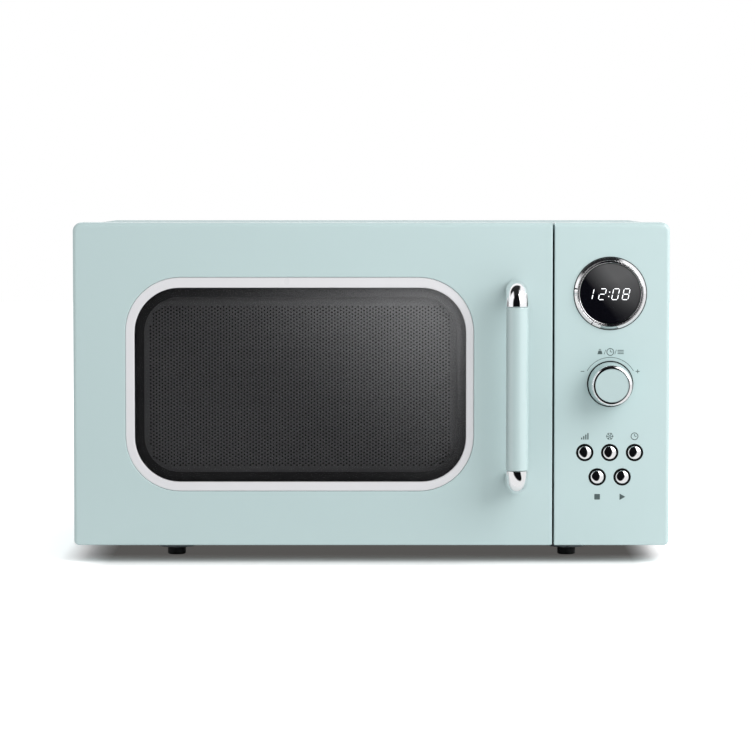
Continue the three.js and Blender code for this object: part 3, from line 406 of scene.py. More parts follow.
def banded(colour, line, axis, pitch, roughness, metallic=0.0):
    """A surface of fine parallel lines across an axis, such as laminations or wound wire."""
    material, tree, shader = nodes_of()
    wave = add_node(
        tree, "TexWave", {"bands_direction": axis},
        Vector=own_point(tree), Scale=1 / (pitch * MM * 3.2), Distortion=0.4, Detail=2,
    ).outputs[1]
    drift = ranged(tree, noise(tree, 12), 0, 1)
    between = mixed(tree, drift, tint(colour, 0.85), tint(colour, 1.1))
    feed(
        shader, Base_Color=mixed(tree, wave, line, between), Metallic=metallic,
        Roughness=ranged(tree, noise(tree, 3), *roughness),
        Normal=bump(tree, wave, 0.6, pitch * MM / 4),
    )
    return material


def spangled(colour, roughness):
    """Zinc-plated sheet, whose crystals differ a little in colour and gloss."""
    material, tree, shader = nodes_of()
    crystals = add_node(tree, "TexVoronoi", Vector=stretched(tree), Scale=1 / (7 * MM))
    shade = add_node(tree, "SeparateColor", Color=crystals.outputs["Color"]).outputs[0]
    streaks = ranged(tree, noise(tree, 5, (1, 1, 0.08), 4), 0, 1)
    base = mixed(tree, shade, tint(colour, 0.93), tint(colour, 1.04))
    feed(
        shader, Base_Color=mixed(tree, streaks, base, tint(colour, 0.9)), Metallic=1.0,
        Roughness=ranged(tree, shade, *roughness, 0, 1),
        Normal=bump(tree, noise(tree, 0.9, (1, 1, 0.3), 3), 0.08, 0.0002),
    )
    return material


def board_finish():
    """Green lacquer over copper tracks."""
    material, tree, shader = nodes_of()
    tracks = add_node(
        tree, "TexVoronoi", {"distance": "CHEBYCHEV", "feature": "F2"},
        Vector=stretched(tree), Scale=180,
    ).outputs[0]
    lines = ranged(tree, tracks, 0, 1, 0.62, 0.7)
    feed(
        shader, Base_Color=mixed(tree, lines, (0.012, 0.11, 0.045), (0.03, 0.21, 0.09)),
        Roughness=ranged(tree, noise(tree, 2), 0.25, 0.45), Normal=bump(tree, lines, 0.3, 0.0001),
    )
    return material


def see_through(clear, haze, roughness, painted_reflection=None, gloss=0.5):
    """Glass that shows what lies behind it through a tint, under a gloss skin with a slight haze.

    clear and haze are colours, and the optional function after roughness paints a reflection, a local bloom of
    light, into the base colour.
    """
    material, tree, shader = nodes_of()
    drift = ranged(tree, noise(tree, 35), 0, 1)
    base = mixed(tree, drift, tint(haze, 0.92), tint(haze, 1.08))
    # painted reflection: the base colour lightens where the given function says light blooms
    if painted_reflection:
        base = mixed(tree, painted_reflection(tree), base, (1, 1, 1))
    feed(
        shader, Base_Color=base, Specular_IOR_Level=gloss,
        Roughness=ranged(tree, noise(tree, 9), roughness, roughness + 0.03),
        Normal=bump(tree, noise(tree, 30, detail=1), 0.01, 0.007),
    )
    tinted = mixed(tree, drift, clear, tint(clear, 0.985))
    through = add_node(tree, "BsdfTransparent", Color=tinted).outputs[0]
    feed(find(tree, "OUTPUT_MATERIAL"), _0=added(tree, through, shader.outputs[0]))
    return material


def slope_of(tree, centre, direction):
    """How far a point lies past the centre along a direction in x and z, in millimetres."""
    start = (centre[0] * MM, 0, centre[1] * MM)
    axis = (direction[0] / MM, 0, direction[1] / MM)
    offset = maths(tree, "SUBTRACT", own_point(tree), start, kind="VectorMath")
    return maths(tree, "DOT_PRODUCT", offset, axis, kind="VectorMath", result=1)


def window_slope(tree):
    """0 at the window's lower left corner, and 2 at its upper right one."""
    direction = (1.15 / (GLASS_X[1] - GLASS_X[0]), 0.85 / (GLASS_Z[1] - GLASS_Z[0]))
    return slope_of(tree, (GLASS_X[0], GLASS_Z[0]), direction)


def painted_window_reflection(tree):
    """A painted reflection: a pale bloom of light in the door's glass, which grows towards its upper right corner.
    """
    return maths(tree, "POWER", ranged(tree, window_slope(tree), 0, 0.24, 0.88, 2.05), 2)


def painted_window_light(material, colour):
    """The material with painted light: its colour drifts to a lighter one towards the window's upper right corner,
    where a bloom of light falls.
    """
    tree = material.node_tree
    base = find(tree, "BSDF_PRINCIPLED").inputs["Base Color"]
    share = maths(tree, "POWER", ranged(tree, window_slope(tree), 0, 1, 0.7, 2.05), 2.2)
    tree.links.new(mixed(tree, share, base.links[0].from_socket, colour), base)
    return material


def painted_lens_reflection(tree):
    """A painted reflection: a soft-edged bloom of light across the display's lens, from its middle to its upper
    right.
    """
    along = slope_of(tree, (DISPLAY[0] - 1, DISPLAY[1] + 1.6), (0.79, 0.613))
    edge = ranged(tree, along, 0, 0.098, -10, 10)
    fade = ranged(tree, slope_of(tree, DISPLAY, (-0.3, 0.95)), 0.3, 1, -20, 10)
    return maths(tree, "MULTIPLY", edge, fade)


def glowing(colour, strength):
    material, tree, shader = nodes_of()
    glow = mixed(tree, ranged(tree, noise(tree, 0.8), 0, 1), tint(colour, 0.94), colour)
    feed(shader, Emission_Color=glow, Base_Color=glow, Emission_Strength=strength)
    return material


MINT = (0.53, 0.664, 0.666)
LOOKS = {
    "mint_paint": surface(
        MINT, (0.52, 0.56), vary=0.004, vary_size=90, peel=(0.7, 0.06), Specular_IOR_Level=0.1),
    "mint_plastic": surface(MINT, (0.22, 0.24), vary=0.004, vary_size=90, peel=(1.6, 0.012)),
    "mint_gloss": surface(
        tint(MINT, 0.94), (0.13, 0.15), vary=0.004, vary_size=90, peel=(1.6, 0.012),
        Specular_IOR_Level=0.9),
    "white_trim": surface((0.76, 0.755, 0.775), (0.26, 0.34), vary=0.012),
    "chrome": surface((0.87, 0.87, 0.88), (0.03, 0.07), 1.0, vary=0.01, peel=(6, 0.01)),
    # painted reflection: a soft bloom of light across the display lens
    "black_glass": see_through((0, 0, 0), (0.003, 0.003, 0.005), 0.05, painted_lens_reflection),
    # painted reflection: the door glass lightens towards its upper right corner
    "tinted_glass": see_through((0.79, 0.79, 0.795), (0.002, 0.002, 0.002), 0.05, painted_window_reflection),
    "clear_glass": see_through((0.8, 0.83, 0.82), (0.1, 0.115, 0.11), 0.04),
    "clear_film": see_through((0.32, 0.32, 0.32), (0.002, 0.002, 0.002), 0.12, gloss=0.02),
    "black_steel": surface((0.102, 0.102, 0.104), (0.42, 0.55), vary=0.05, peel=(0.5, 0.1)),
    "black_plastic": surface(
        (0.014, 0.014, 0.015), (0.4, 0.55), vary=0.15, grain=(0.6, 0.3), peel=(0.4, 0.25)),
    "grey_enamel": surface(
        (0.49, 0.51, 0.505), (0.27, 0.31), vary=0.012, grain=(0.35, 0.15), peel=(1.2, 0.05)),
    "zinc_steel": spangled((0.56, 0.58, 0.6), (0.28, 0.42)),
    "aluminium": surface(
        (0.6, 0.61, 0.62), (0.24, 0.4), 1.0, vary=0.04, grain=(0.5, 0.12), peel=(0.4, 0.1),
        stretch=(0.1, 1, 1)),
    "copper": banded((0.5, 0.17, 0.06), (0.12, 0.035, 0.012), "Z", 0.9, (0.25, 0.4), 1.0),
    "brown_enamel": banded((0.05, 0.032, 0.024), (0.015, 0.01, 0.008), "Y", 0.7, (0.35, 0.55)),
    "mica": surface(
        (0.42, 0.36, 0.26), (0.35, 0.6), vary=0.12, vary_size=9, grain=(1.4, 0.35),
        peel=(2.5, 0.3)),
    "rubber": surface(
        (0.01, 0.01, 0.0105), (0.6, 0.8), vary=0.2, grain=(0.8, 0.4), peel=(0.3, 0.3)),
    "white_nylon": surface(
        (0.77, 0.75, 0.7), (0.38, 0.5), vary=0.03, peel=(0.8, 0.1), Subsurface_Weight=0.1,
        Subsurface_Radius=(0.004, 0.004, 0.003)),
    "green_board": board_finish(),
    "lamp_glass": surface((0.82, 0.78, 0.68), (0.2, 0.35), vary=0.03, peel=(1, 0.05)),
    "printed_ink": surface((0.07, 0.105, 0.105), (0.5, 0.6), vary=0.06, peel=(0.3, 0.2)),
    # painted light: the printed border lightens towards the window's upper right corner
    "window_print": painted_window_light(
        surface((0.016, 0.016, 0.017), (0.5, 0.55), vary=0.05, peel=(0.5, 0.02),
                Specular_IOR_Level=0.2),
        (0.36, 0.36, 0.362)),
    # painted light: the screen's steel lightens towards the window's upper right corner
    "screen_steel": painted_window_light(
        surface((0.105, 0.105, 0.107), (0.55, 0.6), vary=0.03, peel=(0.5, 0.03),
                Specular_IOR_Level=0.3),
        (0.5, 0.5, 0.502)),
    "digit_glow": glowing((0.95, 0.97, 1.0), 0.9),
    "shadow_black": surface(
        (0.004, 0.005, 0.005), (0.7, 0.85), vary=0.2, peel=(0.4, 0.2), Specular_IOR_Level=0.15),
}
for finish_name, finish in LOOKS.items():
    finish.name = finish_name


# -------- the rounded front

def side_values(values, steps):
    """A value at each point of an outline, given for the left, lower, right and upper side."""
    return [
        values[side] + (values[(side + 1) % 4] - values[side]) * step / steps
        for side in range(4)
        for step in range(steps + 1)
    ]


def front_ring(x, insets, depths, corners, steps=8):
    """A ring round the front block; insets and depths are given for its four sides."""
    left, lower, right, upper = insets
    pairs = ((left, lower), (lower, right), (right, upper), (upper, left))
    radii = [max(radius - max(pair), 0.3) for radius, pair in zip(corners, pairs)]
    flat = outline((x[0] + left, x[1] - right), (DOOR_Z[0] + lower, DOOR_Z[1] - upper), radii, steps)
    return [(u, y, v) for (u, v), y in zip(flat, side_values(depths, steps))]


def front_shell(x, front_radii, back_radii, back_turns, corners):
    """A moulded shell, open at the back, whose four front edges have their own fillets."""
    def ring(radii, ends, face, inset=0):
        insets = [inset + r * (1 - cos(turn)) for r, turn in zip(radii, ends)]
        depths = [face + r * (1 - sin(turn)) for r, turn in zip(radii, ends)]
        return front_ring(x, insets, depths, corners)

    turns = [radians(15 * step) for step in range(7)]
    rim = [BACK - r * (1 - sin(turn)) for r, turn in zip(back_radii, back_turns)]
    rings = [ring([1.2] * 4, [turn] * 4, FRONT + WALL, WALL) for turn in reversed(turns)]
    rings.append(front_ring(x, [WALL] * 4, rim, corners))
    for share in (1, 0.8, 0.6, 0.4, 0.2, 0):
        insets = [r * (1 - cos(turn * share)) for r, turn in zip(back_radii, back_turns)]
        depths = [BACK - r * (1 - sin(turn * share)) for r, turn in zip(back_radii, back_turns)]
        rings.append(front_ring(x, insets, depths, corners))
    return loft(rings + [ring(front_radii, [turn] * 4, FRONT) for turn in turns])


def flared(make_points, edge):
    """A cutter through the front wall that rounds the edge of the hole it makes."""
    rings = [at_depth(make_points(0), FRONT + WALL + 2)]
    for step in range(6):
        turn = QUARTER * step / 5
        points = make_points(edge * (1 - cos(turn)))
        rings.append(at_depth(points, FRONT + edge * (1 - sin(turn))))
    rings.append(at_depth(make_points(edge), FRONT - 2))
    return loft(rings)


def flared_hole(centre, radius, edge=0.4, segments=48):
    return flared(lambda by: circle(centre, radius + by, segments), edge)


# -------- door

HINGE_FILLET = 6
HINGE_TURN = radians(49)
RING_WIDTH = 8
PRINT_WIDTH = 7.6
PRINT_CORNER = 29
HOLE_COLUMN = 2.39
HOLE_PITCH = 2.91
HOLE_RADIUS = 0.83
HOLE_FIELD_X = (-180.4, 65.4)
HOLE_FIELD_Z = (78.4, 209.1)
HOLE_FIELD_CORNER = 15
SAME_CORNER = 2e-5
SAME_LENGTH = 1e-5
LATCH_SLOTS = ((68.5, 91.5), (204.5, 227.5))


def door_shell():
    shell = front_shell(
        DOOR_X, (3, 1.5, 1, 4), (HINGE_FILLET, 0.3, 0.3, 0.3),
        (HINGE_TURN, QUARTER, QUARTER, QUARTER), (4, 1.2, 1.2, 7),
    )
    sweep = (HINGE_Y - 9, BACK + 2)
    notches = []
    for node in ("hinge_upper", "hinge_lower"):
        arm = spans(node)[2]
        plate = (arm[1] - 2, arm[1]) if node == "hinge_upper" else (arm[0], arm[0] + 2)
        notches.append(block("z", (DOOR_X[0] - 2, HINGE_X + 6), sweep, grow(plate, 2.5), 1.5))
    opening = flared(lambda by: window_outline(0, 0.12 + by), 0.6)
    piece(carve(shell, opening, *notches), "door_front", "door_shell")


def window_trim():
    """The pale ring: a flat face with rounded edges, a flange behind the wall and a glass lap."""
    y_front, y_back = TRIM_Y
    lap = GLASS_Y[0] - 0.3
    seat = 1 - 4 / RING_WIDTH
    flange = -TRIM_FLANGE / RING_WIDTH
    flange_y = (FRONT + WALL + 0.3, FRONT + WALL + 1.8)
    profile = [
        (seat, y_back), (0, y_back), (0, flange_y[1]), (flange, flange_y[1]), (flange, flange_y[0]),
        (0, flange_y[0]), (0, y_front + 0.8),
    ]
    turns = [QUARTER * step / 5 for step in range(6)]
    for turn in turns[1:]:
        profile.append((0.1 * (1 - cos(turn)), y_front + 0.8 * (1 - sin(turn))))
    for turn in turns:
        profile.append((1 - 0.12 * (1 - sin(turn)), y_front + 1 * (1 - cos(turn))))
    profile += [(1, lap), (seat, lap)]
    rings = [at_depth(window_outline(share), y) for share, y in profile]
    piece(loft(rings, "joined"), "window_ring", "window_trim")


def door_glass():
    soft = 0.4
    front, back = GLASS_Y
    stations = ((-soft, front), (0, front + soft), (0, back - soft), (-soft, back))
    rings = [at_depth(window_outline(1, GLASS_LAP + by), y) for by, y in stations]
    piece(loft(rings), "window_glass", "door_window")


def window_print():
    """The black border printed on the back of the glass."""
    y = (GLASS_Y[1] + 0.04, GLASS_Y[1] + 0.12)
    edge = window_outline(1, 3)
    inner = outline(grow(GLASS_X, -PRINT_WIDTH), grow(GLASS_Z, -PRINT_WIDTH), PRINT_CORNER, 12)
    stations = ((edge, y[0]), (edge, y[1]), (inner, y[1]), (inner, y[0]))
    rings = [at_depth(points, depth) for points, depth in stations]
    piece(loft(rings, "joined"), "window_border", "door_window", "window_print", "black_glass")


def inside_field(x, z):
    """Whether a hole's centre lies in the field with its rounded corners."""
    past_corner = [
        max(abs(value - middle(span)) - (span[1] - span[0]) / 2 + HOLE_FIELD_CORNER, 0)
        for value, span in ((x, HOLE_FIELD_X), (z, HOLE_FIELD_Z))
    ]
    return hypot(*past_corner) <= HOLE_FIELD_CORNER


def hole_cell(x, z):
    """The corners of a six-sided cell, and then those of the hole in it."""
    across, half = HOLE_COLUMN / 3, HOLE_PITCH / 2
    corners = (
        (2 * across, 0), (across, half), (-across, half), (-2 * across, 0), (-across, -half),
        (across, -half),
    )
    return [(x + u, z + v) for u, v in corners] + circle((x, z), HOLE_RADIUS, 6)


def on_hole(edge):
    """Whether a boundary edge belongs to a hole, whose edges are as long as its radius."""
    return abs(edge.calc_length() - HOLE_RADIUS * MM) < SAME_LENGTH


def door_screen():
    """The punched steel screen: a six-sided cell round each hole, and plain sheet round them."""
    x, y, z = spans("door_screen")
    shape = bmesh.new()

    def corners(points):
        return [shape.verts.new(Vector(point) * MM) for point in at_depth(points, y[0])]

    columns = int((HOLE_FIELD_X[1] - HOLE_FIELD_X[0]) / HOLE_COLUMN)
    rows = int((HOLE_FIELD_Z[1] - HOLE_FIELD_Z[0]) / HOLE_PITCH) + 1
    for column in range(columns + 1):
        for row in range(rows + 1):
            u = HOLE_FIELD_X[0] + column * HOLE_COLUMN
            v = HOLE_FIELD_Z[0] + (row + column % 2 / 2) * HOLE_PITCH
            if inside_field(u, v):
                cell = corners(hole_cell(u, v))
                for k in range(6):
                    n = (k + 1) % 6
                    shape.faces.new((cell[k], cell[n], cell[6 + n], cell[6 + k]))
    bmesh.ops.remove_doubles(shape, verts=shape.verts, dist=SAME_CORNER)
    outer = [edge for edge in shape.edges if edge.is_boundary and not on_hole(edge)]
    rim = corners(outline(x, z, 4, 6))
    sheet_edges = [shape.edges.new(ends) for ends in zip(rim, rim[1:] + rim[:1])]
    edges = outer + sheet_edges
    bmesh.ops.triangle_fill(shape, use_beauty=True, use_dissolve=False, edges=edges)
    bmesh.ops.recalc_face_normals(shape, faces=shape.faces)
    mesh = bpy.data.meshes.new("shape")
    shape.to_mesh(mesh)
    shape.free()
    sheet = new_object(mesh)
    if mesh.polygons[0].normal.y > 0:
        mesh.flip_normals()
    modify(sheet, "thickness", "SOLIDIFY", thickness=0.5 * MM, offset=-1)
    piece(baked(sheet), "punched_screen", "door_screen", "screen_steel")


def choke_cover():
    """The black frame round the view, with slots for the latch's hooks."""
    x, y, z = spans("choke_cover")
    view_x, view_z = (grow(span, 0.4) for span in spans("door_film")[::2])
    outer_corner, view_corner = 6, 13
    profile = rounded([(0, y[0]), (0, y[1], 0.6), (1, y[1], 0.6), (1, y[0])], steps=4)

    def ring(share, depth):
        u = tuple(a + (b - a) * share for a, b in zip(x, view_x))
        v = tuple(a + (b - a) * share for a, b in zip(z, view_z))
        corner = outer_corner + (view_corner - outer_corner) * share
        return at_depth(outline(u, v, corner, 8), depth)

    cover = loft([ring(share, depth) for share, depth in profile], "joined")
    hooks_x = spans("latch_hooks")[0]
    slots = [block("y", grow(hooks_x, 2), levels, grow(y, 2), 0.8) for levels in LATCH_SLOTS]
    piece(carve(cover, *slots), "choke_frame", "choke_cover")


# -------- handle

HANDLE_RADIUS = 9
HANDLE_BEND = 10


def handle_bar():
    z = spans("handle_bar")[2]
    profile = rounded(
        [(0, z[0]), (HANDLE_RADIUS, z[0], 0.7), (HANDLE_RADIUS, z[1], 0.7), (0, z[1])], False)
    bar_shape = lathe("z", profile, centre_of("handle_bar"))
    piece(bar_shape, "handle_grip", "handle_bar", "mint_gloss")


def handle_elbow(node, name):
    """A chromed tube from the door's face, round a bend, to the end of the bar."""
    _, y, z = spans(node)
    centre_x, centre_y = centre_of(node)[0], centre_of("handle_bar")[1]
    top = node.endswith("top")
    post_z = z[1] - HANDLE_RADIUS if top else z[0] + HANDLE_RADIUS
    bar_end = z[0] if top else z[1]
    toward = -1 if top else 1

    def ring(along_y, along_z, turn, radius=HANDLE_RADIUS):
        return elbow_ring(centre_x, along_y, along_z, turn, toward, radius)

    path = [(y[1], post_z, 0), (y[1] - 2, post_z, 0), (centre_y + HANDLE_BEND, post_z, 0)]
    for step in range(1, 12):
        turn = QUARTER * step / 12
        path.append((
            centre_y + HANDLE_BEND * (1 - sin(turn)),
            post_z + toward * HANDLE_BEND * (1 - cos(turn)),
            turn,
        ))
    path += [(centre_y, post_z + toward * HANDLE_BEND, QUARTER), (centre_y, bar_end, QUARTER)]
    soft = 0.5
    rings = [ring(*path[0], HANDLE_RADIUS - soft), ring(path[0][0] - soft, post_z, 0)]
    rings += [ring(*station) for station in path[1:-1]]
    rings += [
        ring(centre_y, bar_end - toward * soft, QUARTER), ring(*path[-1], HANDLE_RADIUS - soft),
    ]
    piece(loft(rings), name, node)


def elbow_ring(x, y, z, turn, toward, radius, segments=48):
    """A circle across the tube, where turn is the path's direction from the door to the bar."""
    return [
        (x + side, y - out * sin(turn), z - toward * out * cos(turn))
        for side, out in circle((0, 0), radius, segments)
    ]


# -------- controls

BUTTON_HOLE = 7.1
LIT = {"0": "abcdef", "1": "ef", "2": "abged", "8": "abcdefg"}
CLOCK = (("1", 0), ("2", 5.2), ("0", 15.9), ("8", 24.4))
CLOCK_WIDTH = 32.4
DIGIT_WIDTH, DIGIT_HEIGHT, DIGIT_STROKE = 5.4, 9.4, 0.6
DIGIT_SLANT = tan(radians(12))
KNOB_RING_SLOPES = (4, 9, 13, 16, 19, 22, 26, 37, 41, 45, 49, 54, 65)


def control_panel():
    shell = front_shell(
        PANEL_X, (1, 1.5, 3, 4), (0.3, 0.3, 0.8, 0.3), (QUARTER,) * 4, (1.2, 4, 7, 1.2),
    )
    holes = [flared_hole(centre, BUTTON_HOLE, 0.3, 40) for centre in BUTTON_PLACES]
    holes += [flared_hole(DISPLAY, 27, 0.3, 64), flared_hole(KNOB, 5.2)]
    piece(carve(shell, *holes), "control_front", "control_panel")


def painted_shadow_ring(name, centre, inner, outer, height):
    """A painted shadow: a thin near-black ring on the panel round a control, standing for the shade in the gap at
    its edge.
    """
    profile = rounded([
        (inner, FRONT - height), (outer, FRONT - height, 0.15), (outer, FRONT), (inner, FRONT),
    ])
    turned(profile, centre, name, "control_panel", "shadow_black", "black_plastic")


def display_bezel():
    y = spans("display_bezel")[1]
    outer, inner = 29.2, 24.6
    profile = rounded([
        (inner, y[0] + 1.1, 0.2), (inner + 0.5, y[0] + 0.1, 0.5), (26.1, y[0] + 0.1, 0.3),
        (26.35, y[0] + 0.5, 0.1), (26.9, y[0] - 0.5, 0.25), (outer, FRONT - 0.85, 0.3),
        (outer, FRONT - 0.3, 0.1), (26.7, FRONT - 0.3), (26.7, y[1]), (25.4, y[1]),
        (25.4, FRONT + 1.2), (inner, FRONT + 1.2),
    ])
    # painted shadow round the display's bezel
    painted_shadow_ring("display_painted_shadow", DISPLAY, 28, 29.85, 0.4)
    turned(profile, DISPLAY, "display_ring", "display_bezel")


def display_lens():
    x, y, _ = spans("display_lens")
    radius = (x[1] - x[0]) / 2
    profile = rounded([
        (0, y[0] - 0.2), (radius * 0.6, y[0] - 0.15, 20), (radius, y[0], 0.3), (radius, y[1]),
        (0, y[1]),
    ], False)
    turned(profile, DISPLAY, "display_glass", "display_lens")


def segment(kind):
    """The six-sided outline of one segment, mitred to meet its neighbours."""
    gap, half = 0.42, DIGIT_STROKE / 2
    if kind in "agd":
        level = {"a": DIGIT_HEIGHT - half, "g": DIGIT_HEIGHT / 2, "d": half}[kind]
        start, end = half + gap, DIGIT_WIDTH - half - gap
        return [(start, level), (start + half, level + half), (end - half, level + half),
                (end, level), (end - half, level - half), (start + half, level - half)]
    across = half if kind in "ef" else DIGIT_WIDTH - half
    low, high = (DIGIT_HEIGHT / 2, DIGIT_HEIGHT - half) if kind in "fb" else (half, DIGIT_HEIGHT / 2)
    low, high = low + gap, high - gap
    return [(across, low), (across + half, low + half), (across + half, high - half),
            (across, high), (across - half, high - half), (across - half, low + half)]


def display_digits():
    """A clock time in slanted seven-segment digits."""
    polygons = [
        [(start + u, v) for u, v in segment(kind)] for digit, start in CLOCK for kind in LIT[digit]
    ]
    polygons += [circle((13.4, DIGIT_HEIGHT * level), 0.45, 12) for level in (0.3, 0.68)]
    left, low = DISPLAY[0] - CLOCK_WIDTH / 2 + 0.8, DISPLAY[1] - DIGIT_HEIGHT / 2 - 0.55
    leaning = [[(left + u + v * DIGIT_SLANT, low + v) for u, v in points] for points in polygons]
    front = spans("display_lens")[1][0] - 0.2
    digits = prisms(leaning, (front - 0.06, front + 0.1))
    piece(digits, "display_digits", "display_lens", "digit_glow", "lamp_glass")


def knob():
    """The tapered grip, the concave chrome ring on it and the flat cap in the ring."""
    x, y, _ = spans("knob_body")
    back, front = (x[1] - x[0]) / 2, 16.3
    bore, bore_end = 3.3, y[1] - 13.5
    body = rounded([
        (0, y[0]), (front, y[0], 0.6), (back, y[1] - 1.5, 1.2), (back - 0.5, y[1], 0.3),
        (bore, y[1]), (bore, bore_end), (0, bore_end),
    ], False)
    turned(body, KNOB, "knob_grip", "knob_body", "mint_gloss")
    end = spans("knob_ring")[1][1]
    radius, level, step = 13.75, end - 2.4, 0.2
    ring = [(radius, end), (radius, level)]
    for slope in KNOB_RING_SLOPES:
        radius += step
        level += step * tan(radians(slope))
        ring.append((radius, level))
    ring.append((radius, end))
    turned(ring, KNOB, "knob_chrome", "knob_ring")
    cap = rounded([(0, end - 1.9), (13.6, end - 1.9, 0.5), (13.6, end, 0.2), (0, end)], False)
    turned(cap, KNOB, "knob_face", "knob_cap", "mint_gloss")
    # painted shadow round the knob's base
    painted_shadow_ring("knob_painted_shadow", KNOB, 17, 18.8, 0.45)


def button(node, centre):
    """A domed chrome cap, its flange behind the panel and its stem."""
    top, bottom = spans(node)[1]
    cap, sphere, edge, fillet = 5.7, 11, radians(26), 1
    turns = [edge * i / 12 for i in range(13)]
    dome = [(sphere * sin(turn), top + sphere * (1 - cos(turn))) for turn in turns]
    side, level = dome[-1]
    for i in range(1, 7):
        turn = edge + (QUARTER - edge) * i / 6
        dome.append((
            side + fillet * (sin(turn) - sin(edge)),
            level + fillet * (cos(edge) - cos(turn)),
        ))
    flange, rim, stem = FRONT + WALL + 0.3, BUTTON_HOLE + 1.3, 2
    profile = dome + [
        (cap, flange - 0.5), (cap, flange), (rim, flange), (rim, flange + 1.4),
        (stem, flange + 1.4), (stem, bottom), (0, bottom),
    ]
    turned(profile, centre, f"{node}_cap", node, segments=48)


def button_guides():
    """The black guide rings in the panel's holes, round the buttons, whose near-black finish also paints the shade
    in the gaps.
    """
    profile = rounded([
        (5.85, FRONT + 0.5, 0.2), (7.08, FRONT + 0.1, 0.2), (7.08, FRONT + 2.3), (5.85, FRONT + 2.3),
    ])
    guides = merge(*[lathe("y", profile, centre, 40) for centre in BUTTON_PLACES])
    piece(guides, "button_guides", "control_panel", "shadow_black", "black_plastic")


# -------- printed signs

def moved(centre, points):
    return [(centre[0] + u, centre[1] + v) for u, v in points]


def bar(centre, length, width, degrees=0, offset=0):
    """A straight stroke; offset moves it along its own direction."""
    turn = radians(degrees)
    along, across = Vector((cos(turn), sin(turn))), Vector((-sin(turn), cos(turn)))
    start = Vector(centre) + along * offset
    return [tuple(start + along * (length / 2 * i) + across * (width / 2 * j))
            for i, j in ((-1, -1), (1, -1), (1, 1), (-1, 1))]


def arc_stroke(centre, radius, width, start, end, steps=24):
    angles = [radians(start + (end - start) * step / steps) for step in range(steps + 1)]
    outer = [polar(centre, radius + width / 2, angle) for angle in angles]
    return outer + [polar(centre, radius - width / 2, angle) for angle in reversed(angles)]


def ring_stroke(centre, radius, width, steps=24):
    return [arc_stroke(centre, radius, width, start, start + 180, steps) for start in (0, 180)]


def power_sign(centre):
    """Four bars that grow to the right."""
    bars = []
    for i in range(4):
        height = 1.6 + i * 1.2
        foot = (centre[0] + i * 1.7 - 2.55, centre[1] - 2.6 + height / 2)
        bars.append(bar(foot, height, 1.0, 90))
    return bars


def snowflake_sign(centre):
    """Six arms round the centre, each with two short branches."""
    strokes = []
    for k in range(6):
        strokes.append(bar(centre, 2.6, 0.55, 60 * k, 1.75))
        fork = polar(centre, 1.9, radians(60 * k))
        strokes += [bar(fork, 1.3, 0.45, 60 * k + side, 0.65) for side in (55, -55)]
    return strokes


def clock_sign(centre):
    hands = [bar(centre, 1.9, 0.55, 90, 0.95), bar(centre, 1.4, 0.55, 0, 0.95)]
    return ring_stroke(centre, 2.8, 0.6) + hands


def scale_sign(centre):
    """A kitchen weight: a tapered block with a ring on top."""
    weight = moved(centre, ((-2, -1.8), (2, -1.8), (1.4, 0.8), (-1.4, 0.8)))
    return [weight] + ring_stroke((centre[0], centre[1] + 1.5), 0.75, 0.45, 8)


def stop_sign(centre):
    return [outline(grow((centre[0],) * 2, 2.3), grow((centre[1],) * 2, 2.3), 0.5, 3)]


def start_sign(centre):
    return [moved(centre, ((-2, -2.6), (2.6, 0), (-2, 2.6)))]


def printed_signs():
    """Plain signs beside the controls: a level arc with minus and plus, and one for each button."""
    signs = [arc_stroke(KNOB, 21.6, 0.42, 29, 151, 40)]
    left, right = moved(KNOB, ((-22.6, 10.2), (22.3, 10.2)))
    signs += [bar(left, 3, 0.55), bar(right, 3.2, 0.55)]
    signs += [bar(right, 1.33, 0.55, 90, reach) for reach in (0.94, -0.94)]
    menu = (KNOB[0], KNOB[1] + 26)
    lines = moved(menu, [(8.4, 1.35 * k) for k in (-1, 0, 1)])
    slashes = moved(menu, [(u, 0) for u in (-4.3, 4.3)])
    signs += [bar(line, 5, 0.6) for line in lines] + [bar(slash, 4, 0.4, 70) for slash in slashes]
    signs += clock_sign(menu) + scale_sign((menu[0] - 8.4, menu[1]))
    above, below = 13.3, -16.2
    makers = (
        (power_sign, above), (snowflake_sign, above), (clock_sign, above), (stop_sign, below),
        (start_sign, below),
    )
    for (make, offset), centre in zip(makers, BUTTON_PLACES):
        signs += make((centre[0], centre[1] + offset))
    printed = prisms(signs, (FRONT - 0.05, FRONT + 0.05))
    piece(printed, "panel_signs", "control_panel", "printed_ink", "black_plastic")


# -------- cabinet

SHEET = 1.0
CABINET_CORNER = 6
BULGE_X, BULGE_Z = (-204, 114), (46, 249)
BULGE_SLOPE = 9


def series(start, step, count):
    return [start + i * step for i in range(count)]


def cabinet_wrap():
    """The bent sheet over the top and the two sides, with vents."""
    x, y, z = spans("cabinet_wrap")

    def arch(by):
        corner = CABINET_CORNER - by
        return outline(grow(x, -by), (z[0] - 40, z[1] - by), (1, 1, corner, corner), 10)[22:]

    def section(depth, by):
        """The bent sheet's outline: over the outside, and back along the inside."""
        low = [(x[1] - by, z[0])] + arch(by) + [(x[0] + by, z[0]), (x[0] + SHEET, z[0])]
        return at_depth(low + arch(SHEET)[::-1] + [(x[1] - SHEET, z[0])], depth)

    stations = ((y[0], 0.4), (y[0] + 0.4, 0), (y[1] - 0.3, 0), (y[1], 0.3))
    wrap = loft([section(depth, by) for depth, by in stations])
    right, left = (x[1] - 4, x[1] + 2), (x[0] - 2, x[0] + 4)
    slots = [
        block("x", (y0, y0 + 3), (z0, z0 + 26), through, 1.45, 5)
        for through, levels in ((right, (60, 92)), (left, (60,)))
        for y0 in series(84, 9, 8)
        for z0 in levels
    ]
    piece(carve(wrap, merge(*slots)), "cabinet_cover", "cabinet_wrap")


